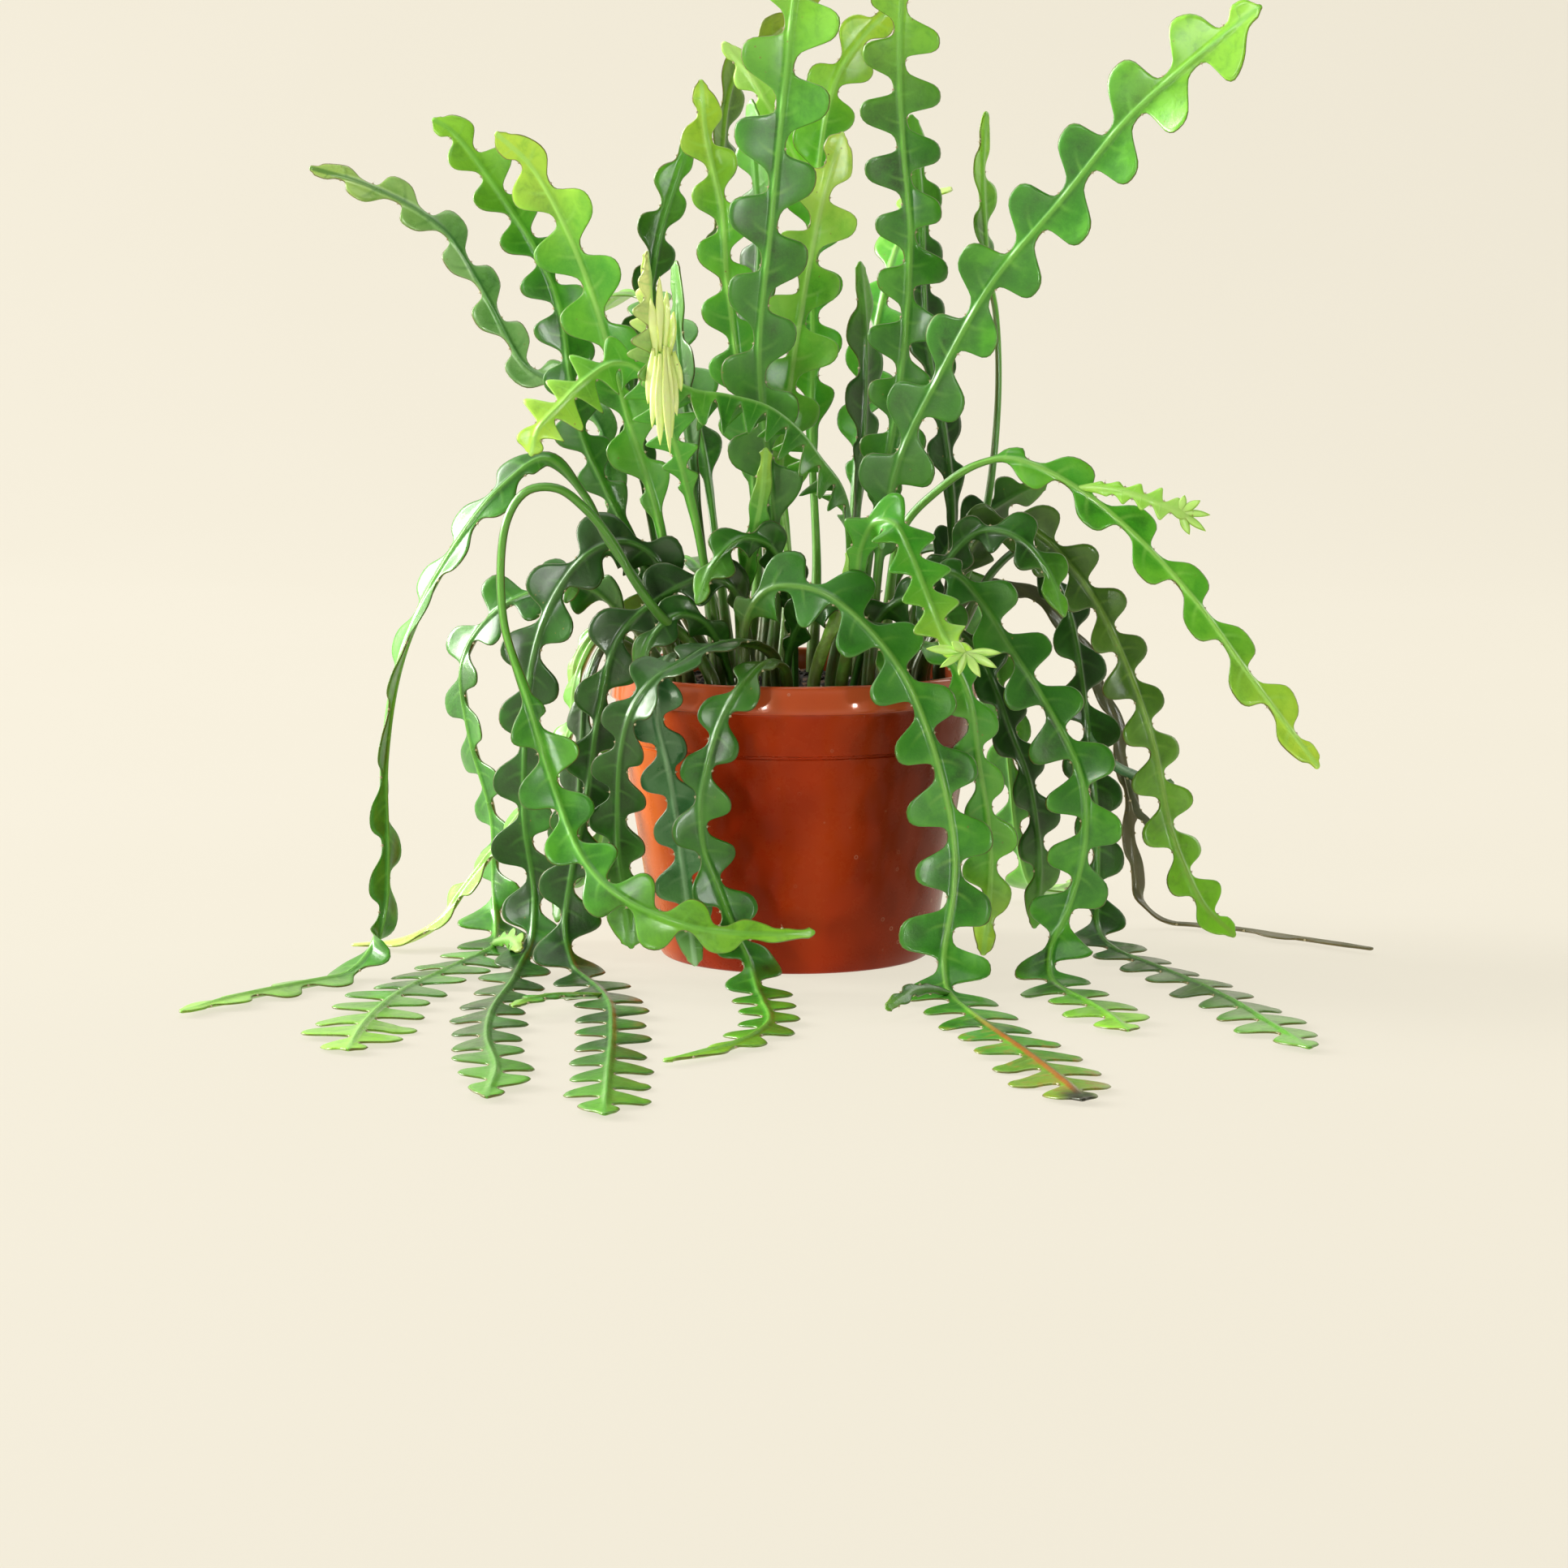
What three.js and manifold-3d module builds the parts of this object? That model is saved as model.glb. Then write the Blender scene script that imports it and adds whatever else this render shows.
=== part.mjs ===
// Fishbone cactus in a round plastic nursery pot.
// Millimetres, +Z up. The origin is the centre of the underside of the pot,
// the viewer's side is -Y. Every leafy stem is one solid that stands in its
// own hole in the soil; the stems that trail past the pot lie along z = 0.

import * as THREE from "three";
import { mergeVertices } from "three/addons/utils/BufferGeometryUtils.js";
import Module from "manifold-3d";

const wasm = await Module();
wasm.setup();

// ---------------------------------------------------------------- pot sizes
const POT_HEIGHT = 131;
const BASE_RADIUS = 60;
const WALL_FOOT_RADIUS = 63;
const WALL_SLOPE = 0.16;
const WALL = 2;
const FLOOR_THICKNESS = 3;
const RIM_RADIUS = 84.5;
const RIM_HEIGHT = 12.6;
const GROOVE_HEIGHT = 99;
const GROOVE_DEPTH = 0.8;
const POT_SIDES = 32;
const DRAIN_HOLES = 6;
const DRAIN_RADIUS = 4.5;
const DRAIN_CIRCLE = 40;

// --------------------------------------------------------------- soil sizes
const GAP = 0.35;
const SOIL_SIDES = 24;
const FACET_ALLOWANCE = 0.4;
const SOIL_TOP = 122;
const SOIL_MOUND = 3;
const ROOT_DEPTH = 17;
const HEX_SIDES = 6;

// --------------------------------------------------------------- stem sizes
const ROOT_RADIUS = 3;
const ROOT_CLEAR = 7;
const STALK_RADIUS = 2.1;
const STALK_RUN = 70;
const RIB_HALF = 1.9;
const EDGE_HALF = 0.45;
const TIP_WIDTH = 1.6;
const TIP_RIB = 0.8;
const FLOOR_REST = 2.7;
const LIE_START = 28;
const LIE_END = 8;
const SHORT_BARE = 60;
const SHORT_STEP = 20;
const LONG_STEP = 38;
const WING_RAMP = 30;
const FACE_LIFT = 0.2;
const BARE_TURN = 0.7;

// One lobe from its notch to the next, towards the tip of the stem: the share
// of the period, and the share of the lobe's height above the notch. The near
// flank slants out, the far flank drops back square to the rib, and a broad
// lobe has a flat-bottomed bay before it. A comb tooth is a plain point.
const BROAD_LOBE = [
  [0, 0],
  [0.2, 0.04],
  [0.5, 0.93],
  [0.8, 0.95],
];
const NARROW_LOBE = [
  [0, 0],
  [0.45, 0.95],
  [0.74, 0.94],
];
const COMB_TOOTH = [
  [0, 0],
  [0.66, 1],
];
const NARROW_HALF = 18.2;

// ------------------------------------------------------------------- stems
// root: where the stem stands in the soil. route: hand-placed points of its
// middle line after it leaves the soil. half: half width at the first and the
// last lobe. notch: what is left of the half width between two lobes. bare:
// length without lobes. face: the compass direction of its flat side at both
// ends, 0 towards -Y and 90 towards +X. drapes: it bends over the rim towards
// its face, so that side turns up on the way. flipped: whether the lobes of its
// right and left edge have their square flank towards the foot, not the tip.
// comb: its lobes are narrow teeth. tail: length over which it thins to the tip.
// spaced: its lobes are set apart like broad ones. hang: the degrees that both
// edges fold back from the flat side.
// lies: its end rests on the ground.
const STEMS = [
  // Upright fan, left to right.
  {
    name: "upright_stem_1", root: [-52, 30], half: [9, 11], period: 29, notch: 0.16, bare: 75,
    spaced: true,
    face: [-10, 20],
    route: [[-74, 30, 172], [-85, 34, 210], [-89, 40, 236], [-105, 50, 254], [-124, 56, 264],
      [-143, 66, 296], [-164, 76, 327], [-197, 84, 346], [-226, 90, 355]],
  },
  {
    name: "upright_stem_2", root: [-56, 2], half: [12, 14], period: 23, notch: 0.2, bare: 75,
    face: [-20, 12],
    route: [[-68, 0, 176], [-86, 2, 212], [-98, 5, 241], [-106, 10, 291], [-113, 12, 310],
      [-127, 15, 334], [-154, 22, 370], [-163, 24, 376]],
  },
  {
    name: "upright_stem_3", root: [-54, -18], half: [13, 18], period: 30, notch: 0.18, bare: 75,
    face: [8, -22],
    route: [[-57, -22, 177], [-65, -22, 214], [-74, -22, 243], [-90, -22, 299], [-105, -24, 336],
      [-117, -26, 356], [-131, -30, 369]],
  },
  {
    name: "upright_stem_4", root: [-40, 44], half: [10, 11], period: 25, notch: 0.3, bare: 90,
    face: [28, 36],
    route: [[-62, 46, 172], [-71, 52, 224], [-76, 54, 258], [-67, 54, 302], [-62, 56, 328],
      [-48, 60, 371]],
  },
  {
    name: "upright_stem_5", root: [-22, -6], half: [12, 14], period: 26, notch: 0.2, bare: 90,
    face: [-10, 18],
    route: [[-17, -8, 176], [-20, -8, 227], [-25, -8, 260], [-31, -9, 308], [-33, -10, 336],
      [-40, -12, 369], [-42, -14, 392]],
  },
  {
    name: "upright_stem_6", root: [-12, -34], half: [15, 23], period: 36, notch: 0.15, bare: 70,
    face: [4, -14],
    route: [[-8, -36, 171], [-11, -40, 215], [-16, -46, 272], [-11, -50, 326], [-8, -52, 357],
      [-4, -56, 395], [0, -60, 429], [7, -64, 463]],
  },
  {
    name: "upright_stem_7", root: [-6, 16], half: [16, 19], period: 28, notch: 0.18, bare: 75,
    face: [12, 22],
    route: [[-3, 20, 174], [-7, 22, 211], [-4, 24, 248], [2, 28, 288], [12, 32, 341], [21, 34, 370]],
  },
  {
    name: "upright_stem_8", root: [28, -22], half: [14, 19], period: 26, notch: 0.16, bare: 80,
    flipped: [true, false],
    face: [-8, 16],
    route: [[32, -26, 178], [38, -28, 211], [45, -31, 251], [49, -33, 292], [50, -35, 326],
      [47, -37, 360], [45, -40, 393], [46, -46, 450]],
  },
  {
    name: "upright_stem_9", root: [32, -46], half: [14, 23.5], period: 35, notch: 0.15, bare: 60,
    flipped: [true, false],
    face: [4, -20],
    route: [[35, -50, 166], [39, -54, 202], [46, -58, 230], [61, -64, 262], [84, -74, 304],
      [114, -86, 341], [142, -98, 376], [176, -110, 406], [193, -116, 420]],
  },
  {
    name: "upright_stem_10", root: [56, 10], half: [8, 9], period: 26, notch: 0.25, bare: 185,
    face: [50, 50],
    route: [[76, 14, 167], [86, 18, 196], [92, 22, 248], [91, 24, 288], [87, 24, 310],
      [84, 26, 359], [86, 28, 379]],
  },
  {
    name: "upright_stem_11", root: [52, 32], half: [12, 13], period: 26, notch: 0.3, bare: 80,
    face: [38, 30],
    route: [[67, 34, 150], [72, 36, 191], [68, 40, 235], [60, 43, 276], [57, 46, 339], [53, 48, 378]],
  },
  {
    name: "upright_stem_12", root: [8, 48], half: [13, 14], period: 28, notch: 0.22, bare: 110,
    face: [-20, 24],
    route: [[10, 52, 171], [8, 58, 223], [8, 64, 276], [8, 68, 320], [17, 76, 391], [31, 80, 415],
      [49, 84, 432]],
  },
  {
    name: "upright_stem_13", root: [-16, 56], half: [11, 12], period: 28, notch: 0.3, bare: 110,
    face: [36, 55],
    route: [[-13, 60, 171], [-19, 68, 223], [-28, 74, 276], [-35, 80, 320], [-35, 86, 358],
      [-28, 92, 399], [-7, 98, 418], [11, 102, 437]],
  },
  {
    name: "upright_stem_14", root: [-14, 36], half: [12, 12], period: 26, notch: 0.25, bare: 90,
    face: [-32, -45],
    route: [[-12, 40, 172], [-15, 42, 217], [-20, 44, 258], [-16, 46, 321], [-20, 48, 385]],
  },
  // The comb-like arch in front of the fan.
  {
    name: "comb_arch_stem", root: [16, -30], half: [17, 16], period: 12, notch: 0.15, bare: 70,
    tail: 70,
    comb: true,
    hang: 62,
    drapes: true,
    face: [-90, -90],
    route: [[24, -38, 182], [20, -52, 213], [10, -62, 228], [0, -69, 241], [-13, -76, 251],
      [-30, -82, 256], [-45, -90, 259], [-57, -98, 268], [-62, -103, 292], [-63, -107, 318]],
  },
  // Stems that arch out to the left.
  {
    name: "left_stem_1", root: [-34, -42], half: [12, 15], period: 13, notch: 0.2, bare: 90,
    comb: true,
    face: [0, -14],
    route: [[-38, -44, 166], [-46, -51, 209], [-59, -62, 252], [-69, -66, 268], [-79, -68, 270],
      [-92, -72, 262], [-102, -76, 252], [-111, -80, 242], [-114, -82, 232]],
  },
  {
    name: "left_stem_2", root: [-50, -42], half: [13, 13], period: 31, notch: 0.25, bare: 120,
    face: [22, -182],
    lies: true,
    route: [[-65, -44, 165], [-84, -46, 194], [-93, -48, 212], [-109, -50, 228], [-128, -52, 216],
      [-150, -56, 188], [-172, -60, 145], [-181, -60, 98], [-181, -60, 51], [-182, -62, 30],
      [-187, -67, 13], [-196, -78, 4], [-214, -98, 2.7], [-238, -128, 2.7], [-258, -160, 2.7]],
  },
  {
    name: "left_stem_3", root: [-36, -58], half: [15, 16], period: 28, notch: 0.16, bare: 228,
    tail: 90,
    face: [0, -8],
    route: [[-46, -55, 147], [-59, -65, 160], [-70, -72, 176], [-80, -75, 194], [-91, -79, 208],
      [-103, -81, 217], [-116, -81, 216], [-125, -81, 203], [-127, -80, 161], [-116, -82, 124],
      [-104, -88, 85], [-91, -104, 58], [-75, -116, 44], [-42, -124, 32], [-7, -122, 29], [7, -118, 29]],
  },
  {
    name: "left_stem_4", root: [-62, 18], half: [14, 23], period: 26, notch: 0.12, bare: 30,
    face: [-52, -80],
    lies: true,
    route: [[-74, 26, 146], [-93, 32, 163], [-108, 34, 164], [-136, 38, 153], [-153, 38, 129],
      [-150, 34, 95], [-140, 30, 58], [-139, 27, 24], [-138, 15, 8], [-138, -10, 2.7],
      [-153, -60, 2.7], [-170, -120, 2.7], [-178, -180, 2.7], [-180, -240, 2.7]],
  },
  {
    name: "left_stem_5", root: [-68, 4], half: [11, 12], period: 23, notch: 0.2, bare: 50,
    face: [-62, -74],
    lies: true,
    route: [[-74, 4, 140], [-88, 6, 144], [-98, 6, 128], [-104, 6, 96], [-122, 6, 67], [-137, 4, 47],
      [-151, 2, 29], [-163, 2, 13], [-180, 2, 4], [-202, 0, 2.7]],
  },
  {
    name: "left_stem_6", root: [-38, -28], half: [15, 16], period: 29, notch: 0.18, bare: 45,
    face: [-10, -24],
    lies: true,
    route: [[-55, -26, 156], [-62, -30, 182], [-75, -32, 190], [-90, -34, 186], [-105, -36, 169],
      [-116, -38, 141], [-120, -38, 105], [-121, -36, 66], [-117, -34, 32], [-118, -44, 12],
      [-122, -62, 4], [-124, -100, 2.7], [-128, -160, 2.7], [-126, -220, 2.7], [-118, -280, 2.7],
      [-118, -330, 2.7]],
  },
  {
    name: "left_stem_7", root: [-54, 46], half: [8, 8], period: 20, notch: 0.25, bare: 45,
    face: [-35, -40],
    route: [[-66, 50, 140], [-79, 54, 146], [-92, 56, 142], [-102, 57, 128], [-104, 57, 112]],
  },
  {
    name: "left_stem_8", root: [-67, -12], half: [12, 13], period: 25, notch: 0.3, bare: 50,
    face: [-30, -46],
    route: [[-72, -11, 138], [-84, -12, 143], [-93, -13, 126], [-96, -14, 96], [-98, -14, 66],
      [-103, -14, 37], [-108, -16, 17]],
  },
  // Stems that hang over the front of the pot.
  {
    name: "front_stem_1", root: [-22, -60], half: [17, 21], period: 28, notch: 0.14, bare: 30,
    face: [0, 0],
    lies: true,
    route: [[-23, -60, 150], [-20, -63, 163], [-12, -68, 172], [1, -75, 174], [17, -83, 169],
      [43, -93, 143], [58, -99, 110], [68, -102, 67], [68, -105, 44], [64, -110, 20], [64, -122, 7],
      [68, -142, 2.7], [78, -190, 2.7], [92, -250, 2.7], [104, -310, 2.7], [108, -335, 2.7]],
  },
  {
    name: "front_stem_2", root: [-4, -62], half: [13, 15], period: 25, notch: 0.2, bare: 25,
    tail: 90,
    face: [0, 0],
    drapes: true, lies: true,
    route: [[-6, -72, 139], [-13, -82, 141], [-21, -90, 135], [-31, -94, 120], [-37, -96, 103],
      [-41, -97, 83], [-40, -97, 62], [-34, -97, 45], [-27, -98, 27], [-20, -102, 11], [-17, -116, 3.6],
      [-14, -145, 2.7], [-12, -190, 2.7], [-28, -235, 2.7], [-52, -262, 2.7]],
  },
  {
    name: "front_stem_3", root: [-8, -50], half: [12, 14], period: 24, notch: 0.3, bare: 30,
    face: [0, -20],
    drapes: true,
    route: [[-10, -58, 142], [-22, -71, 149], [-37, -83, 148], [-49, -93, 142], [-61, -97, 135],
      [-70, -99, 123], [-75, -95, 105], [-77, -88, 82], [-77, -84, 58], [-74, -82, 36], [-72, -84, 17]],
  },
  {
    name: "front_stem_4", root: [-20, -46], half: [13, 18], period: 29, notch: 0.14, bare: 35,
    face: [0, -20],
    lies: true,
    route: [[-24, -48, 163], [-31, -52, 174], [-43, -52, 175], [-55, -53, 170], [-77, -58, 151],
      [-86, -60, 119], [-93, -60, 73], [-99, -60, 46], [-102, -62, 22], [-99, -72, 7], [-90, -94, 2.7],
      [-80, -140, 2.7], [-76, -200, 2.7], [-74, -280, 2.7], [-72, -360, 2.7]],
  },
  {
    name: "front_stem_5", root: [-47, -56], half: [11, 13], period: 24, notch: 0.25, bare: 30,
    face: [-10, -10],
    drapes: true,
    route: [[-49, -63, 140], [-55, -77, 143], [-60, -88, 134], [-60, -90, 116], [-56, -88, 98],
      [-52, -84, 74], [-49, -83, 50], [-46, -84, 26], [-44, -88, 10]],
  },
  // Stems that arch out to the right.
  {
    name: "right_stem_1", root: [40, -8], half: [11, 13], period: 32, notch: 0.14, bare: 125,
    spaced: true,
    face: [0, 24],
    route: [[42, -12, 162], [48, -18, 195], [64, -24, 213], [80, -30, 224], [96, -36, 227],
      [123, -44, 215], [148, -50, 195], [175, -56, 166], [202, -62, 129], [229, -66, 94]],
  },
  {
    name: "right_stem_2", root: [58, -6], half: [15, 14], period: 23, notch: 0.18, bare: 50,
    face: [0, 30],
    route: [[69, -6, 161], [82, -6, 189], [98, -6, 196], [112, -4, 189], [134, 0, 163],
      [151, 4, 129], [163, 4, 94], [171, 4, 56], [178, 2, 37], [187, 0, 20], [200, -4, 8]],
  },
  {
    name: "right_stem_3", root: [46, -38], half: [15, 19], period: 28, notch: 0.14, bare: 58,
    face: [0, 16],
    lies: true,
    route: [[52, -46, 154], [57, -50, 175], [69, -55, 178], [82, -58, 165], [92, -60, 149],
      [110, -64, 121], [125, -68, 90], [127, -70, 62], [121, -70, 35], [113, -74, 16], [111, -88, 5],
      [114, -108, 2.7], [126, -150, 2.7], [136, -200, 2.7]],
  },
  {
    name: "right_stem_4", root: [66, 22], half: [13, 18], period: 29, notch: 0.14, bare: 78,
    face: [18, 32],
    lies: true,
    route: [[77, 30, 147], [92, 36, 172], [105, 38, 181], [117, 38, 170], [126, 36, 152],
      [134, 32, 105], [139, 24, 53], [139, 20, 27], [139, 8, 8], [146, -20, 2.7], [168, -80, 2.7],
      [186, -140, 2.7], [198, -200, 2.7], [206, -236, 2.7]],
  },
  {
    name: "right_stem_5", root: [56, 46], half: [5, 5.5], period: 34, notch: 0.36, bare: 45,
    face: [20, 20],
    lies: true,
    route: [[70, 54, 145], [91, 60, 163], [114, 66, 155], [135, 69, 131], [149, 69, 101],
      [156, 67, 70], [159, 63, 38], [163, 61, 14], [174, 59, 4], [200, 48, 2.7], [230, 20, 2.7],
      [262, -10, 2.7]],
  },
  {
    name: "right_stem_6", root: [56, -22], half: [11, 12], period: 24, notch: 0.25, bare: 25,
    face: [12, 28],
    route: [[61, -29, 143], [70, -32, 150], [80, -34, 142], [88, -36, 126], [96, -37, 104],
      [103, -37, 86], [107, -37, 66], [109, -37, 42], [107, -38, 18]],
  },
  {
    name: "right_stem_7", root: [43, -53], half: [12, 12], period: 24, notch: 0.25, bare: 30,
    face: [10, 10],
    drapes: true,
    route: [[48, -62, 143], [58, -74, 148], [69, -83, 139], [76, -86, 122], [79, -84, 99], [83, -82, 76],
      [85, -80, 52], [84, -80, 30], [82, -84, 14]],
  },
  {
    name: "right_stem_8", root: [40, 22], half: [11, 12], period: 21, notch: 0.3, bare: 50,
    face: [35, 40],
    route: [[56, 28, 156], [72, 46, 184], [88, 54, 196], [102, 62, 204], [117, 68, 210]],
  },
  {
    name: "new_shoot_front", root: [20, -58], half: [14, 12], period: 15, notch: 0.3, bare: 66,
    comb: true,
    face: [10, 10],
    route: [[25, -70, 160], [28, -82, 192], [34, -92, 203], [42, -100, 203], [49, -106, 190],
      [57, -112, 170], [64, -120, 155], [73, -127, 149]],
  },
  {
    name: "new_shoot_left", root: [-24, -28], half: [6, 6], period: 24, notch: 0.55, bare: 40,
    face: [0, 0],
    route: [[-24, -34, 162], [-20, -42, 186], [-15, -50, 211], [-13, -54, 232]],
  },
  {
    name: "new_shoot_middle", root: [8, -46], half: [6, 5], period: 20, notch: 0.5, bare: 20,
    face: [0, 0],
    route: [[12, -50, 144], [18, -54, 159], [22, -57, 173], [24, -60, 188]],
  },
  // Stems at the back of the pot.
  {
    name: "back_stem_1", root: [-34, 62], half: [13, 15.5], period: 33, notch: 0.16, bare: 45,
    face: [200, 200],
    drapes: true, lies: true,
    route: [[-40, 72, 160], [-52, 92, 172], [-66, 112, 158], [-76, 122, 128], [-83, 128, 95],
      [-90, 132, 60], [-96, 137, 28], [-104, 152, 8], [-116, 178, 2.7], [-130, 222, 2.7]],
  },
  {
    name: "back_stem_2", root: [-2, 70], half: [13, 15.5], period: 33, notch: 0.16, bare: 35,
    face: [180, 180],
    drapes: true, lies: true,
    route: [[-4, 82, 156], [-8, 100, 166], [-12, 116, 152], [-14, 124, 122], [-14, 127, 90],
      [-14, 128, 55], [-16, 132, 25], [-19, 146, 7], [-24, 176, 2.7], [-28, 214, 2.7]],
  },
  {
    name: "back_stem_3", root: [24, 62], half: [12, 14], period: 32, notch: 0.2, bare: 25,
    face: [180, 170],
    drapes: true,
    route: [[26, 74, 148], [30, 92, 154], [36, 106, 138], [40, 111, 108], [42, 112, 75],
      [44, 113, 42], [47, 116, 18]],
  },
  {
    name: "back_stem_4", root: [39, 52], half: [13, 15.5], period: 33, notch: 0.16, bare: 58,
    face: [150, 160],
    drapes: true, lies: true,
    route: [[48, 68, 165], [63, 84, 178], [80, 98, 166], [92, 106, 140], [99, 110, 105],
      [104, 113, 68], [108, 118, 34], [116, 130, 9], [130, 154, 2.7], [144, 190, 2.7]],
  },
  {
    name: "back_stem_5", root: [24, 36], half: [13, 15], period: 33, notch: 0.18, bare: 85,
    face: [160, 150],
    drapes: true,
    route: [[26, 42, 180], [30, 52, 230], [38, 70, 280], [48, 92, 318], [60, 114, 340], [74, 138, 346]],
  },
  {
    name: "back_stem_6", root: [-30, 24], half: [13, 15], period: 33, notch: 0.18, bare: 92,
    face: [200, 215],
    drapes: true,
    route: [[-36, 34, 180], [-44, 62, 230], [-56, 92, 268], [-68, 120, 290], [-82, 148, 296],
      [-96, 174, 286]],
  },
  {
    name: "back_stem_7", root: [20, 8], half: [11, 12], period: 32, notch: 0.3, bare: 95,
    face: [30, 50],
    route: [[26, 8, 180], [30, 8, 230], [31, 9, 275], [29, 8, 312]],
  },
  {
    name: "back_stem_8", root: [-36, 8], half: [11, 12], period: 32, notch: 0.3, bare: 95,
    face: [-30, -60],
    route: [[-42, 14, 180], [-47, 20, 225], [-52, 26, 270], [-54, 30, 312]],
  },
];

// -------------------------------------------------------------- small tools
const UP = new THREE.Vector3(0, 0, 1);

// A fixed number between 0 and 1 for each stem and lobe.
function chance(seed) {
  const wave = Math.sin(seed * 12.9898) * 43758.5453;
  return wave - Math.floor(wave);
}

function ease(value) {
  const x = Math.min(Math.max(value, 0), 1);
  return x * x * (3 - 2 * x);
}

function mix(from, to, share) {
  return from + (to - from) * share;
}

function toSolid(geometry) {
  const plain = geometry.clone();
  plain.deleteAttribute("normal");
  plain.deleteAttribute("uv");
  const merged = mergeVertices(plain, 1e-4);
  const mesh = new wasm.Mesh({
    numProp: 3,
    vertProperties: new Float32Array(merged.attributes.position.array),
    triVerts: new Uint32Array(merged.index.array),
  });
  return new wasm.Manifold(mesh);
}

function toGeometry(solid) {
  const mesh = solid.getMesh();
  const geometry = new THREE.BufferGeometry();
  geometry.setAttribute("position", new THREE.BufferAttribute(mesh.vertProperties, 3));
  geometry.setIndex(new THREE.BufferAttribute(mesh.triVerts, 1));
  return geometry;
}

function turned(profile, sides) {
  const points = profile.map(([radius, height]) => new THREE.Vector2(radius, height));
  const geometry = new THREE.LatheGeometry(points, sides);
  geometry.rotateX(Math.PI / 2);
  return geometry;
}

function upright(radius, height, sides, turn, x, y, z) {
  const geometry = new THREE.CylinderGeometry(radius, radius, height, sides);
  geometry.rotateX(Math.PI / 2);
  geometry.rotateZ(turn);
  geometry.translate(x, y, z + height / 2);
  return geometry;
}

// ---------------------------------------------------------------------- pot
function wallRadius(height) {
  return WALL_FOOT_RADIUS + WALL_SLOPE * height;
}

function buildPot() {
  const rimFoot = POT_HEIGHT - RIM_HEIGHT;
  const innerRim = RIM_RADIUS - 2 * WALL;
  const profile = [
    [0, 0],
    [BASE_RADIUS, 0],
    [WALL_FOOT_RADIUS - 0.8, 1.6],
    [wallRadius(5), 5],
    [wallRadius(GROOVE_HEIGHT - 1.5), GROOVE_HEIGHT - 1.5],
    [wallRadius(GROOVE_HEIGHT) - GROOVE_DEPTH, GROOVE_HEIGHT - 0.6],
    [wallRadius(GROOVE_HEIGHT) - GROOVE_DEPTH, GROOVE_HEIGHT + 0.6],
    [wallRadius(GROOVE_HEIGHT + 1.5), GROOVE_HEIGHT + 1.5],
    [wallRadius(rimFoot), rimFoot],
    [RIM_RADIUS, rimFoot + 0.8],
    [RIM_RADIUS, POT_HEIGHT - 1.2],
    [RIM_RADIUS - 1.2, POT_HEIGHT],
    [innerRim + 0.8, POT_HEIGHT],
    [innerRim, POT_HEIGHT - 1.2],
    [wallRadius(rimFoot) - WALL, rimFoot],
    [wallRadius(FLOOR_THICKNESS) - WALL, FLOOR_THICKNESS],
    [0, FLOOR_THICKNESS],
  ];
  let pot = toSolid(turned(profile, POT_SIDES));
  for (let hole = 0; hole < DRAIN_HOLES; hole += 1) {
    const angle = ((hole + 0.5) * 2 * Math.PI) / DRAIN_HOLES;
    const x = DRAIN_CIRCLE * Math.cos(angle);
    const y = DRAIN_CIRCLE * Math.sin(angle);
    const drill = upright(DRAIN_RADIUS, 3 * FLOOR_THICKNESS, 8, 0, x, y, -FLOOR_THICKNESS);
    pot = pot.subtract(toSolid(drill));
  }
  return toGeometry(pot);
}

// --------------------------------------------------------------------- soil
function buildSoil() {
  const bottom = FLOOR_THICKNESS + GAP;
  const inner = (height) => wallRadius(height) - WALL - GAP - FACET_ALLOWANCE;
  const profile = [
    [0, bottom],
    [inner(bottom), bottom],
    [inner(POT_HEIGHT - RIM_HEIGHT), POT_HEIGHT - RIM_HEIGHT],
    [inner(SOIL_TOP) - 1.5, SOIL_TOP - SOIL_MOUND],
    [inner(SOIL_TOP) * 0.8, SOIL_TOP],
    [0, SOIL_TOP],
  ];
  let soil = toSolid(turned(profile, SOIL_SIDES));
  for (const stem of STEMS) {
    const [x, y] = stem.root;
    const turn = THREE.MathUtils.degToRad(stem.face[0]);
    const foot = SOIL_TOP - ROOT_DEPTH - GAP;
    const hole = upright(ROOT_RADIUS + GAP, ROOT_DEPTH + 10, HEX_SIDES, turn, x, y, foot);
    soil = soil.subtract(toSolid(hole));
  }
  return toGeometry(soil);
}

// -------------------------------------------------------------------- stems
// The middle line of a stem, with the direction of its flat side along it.
function stemLine(stem) {
  const [x, y] = stem.root;
  const start = new THREE.Vector3(x, y, SOIL_TOP + 2);
  const points = [start, new THREE.Vector3(x, y, SOIL_TOP + ROOT_CLEAR)];
  for (const [px, py, pz] of stem.route) {
    points.push(new THREE.Vector3(px, py, pz));
  }
  const curve = new THREE.CatmullRomCurve3(points, false, "centripetal");
  curve.arcLengthDivisions = 600;
  const length = curve.getLength();
  const frameAt = (distance) => {
    const share = Math.min(Math.max(distance / length, 0), 1);
    const point = curve.getPointAt(share);
    point.z = Math.max(point.z, FLOOR_REST);
    const along = distance <= 0 ? UP.clone() : curve.getTangentAt(share);
    const compass = THREE.MathUtils.degToRad(mix(stem.face[0], stem.face[1], share));
    const look = new THREE.Vector3(Math.sin(compass), -Math.cos(compass), FACE_LIFT);
    if (stem.drapes) {
      look.setZ(0).multiplyScalar(-along.z).add(UP);
    }
    if (stem.lies) {
      look.lerp(UP, ease((LIE_START - point.z) / (LIE_START - LIE_END)));
    }
    const normal = look.addScaledVector(along, -look.dot(along)).normalize();
    const side = new THREE.Vector3().crossVectors(along, normal);
    return { point, along, normal, side };
  };
  return { length, frameAt };
}

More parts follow.
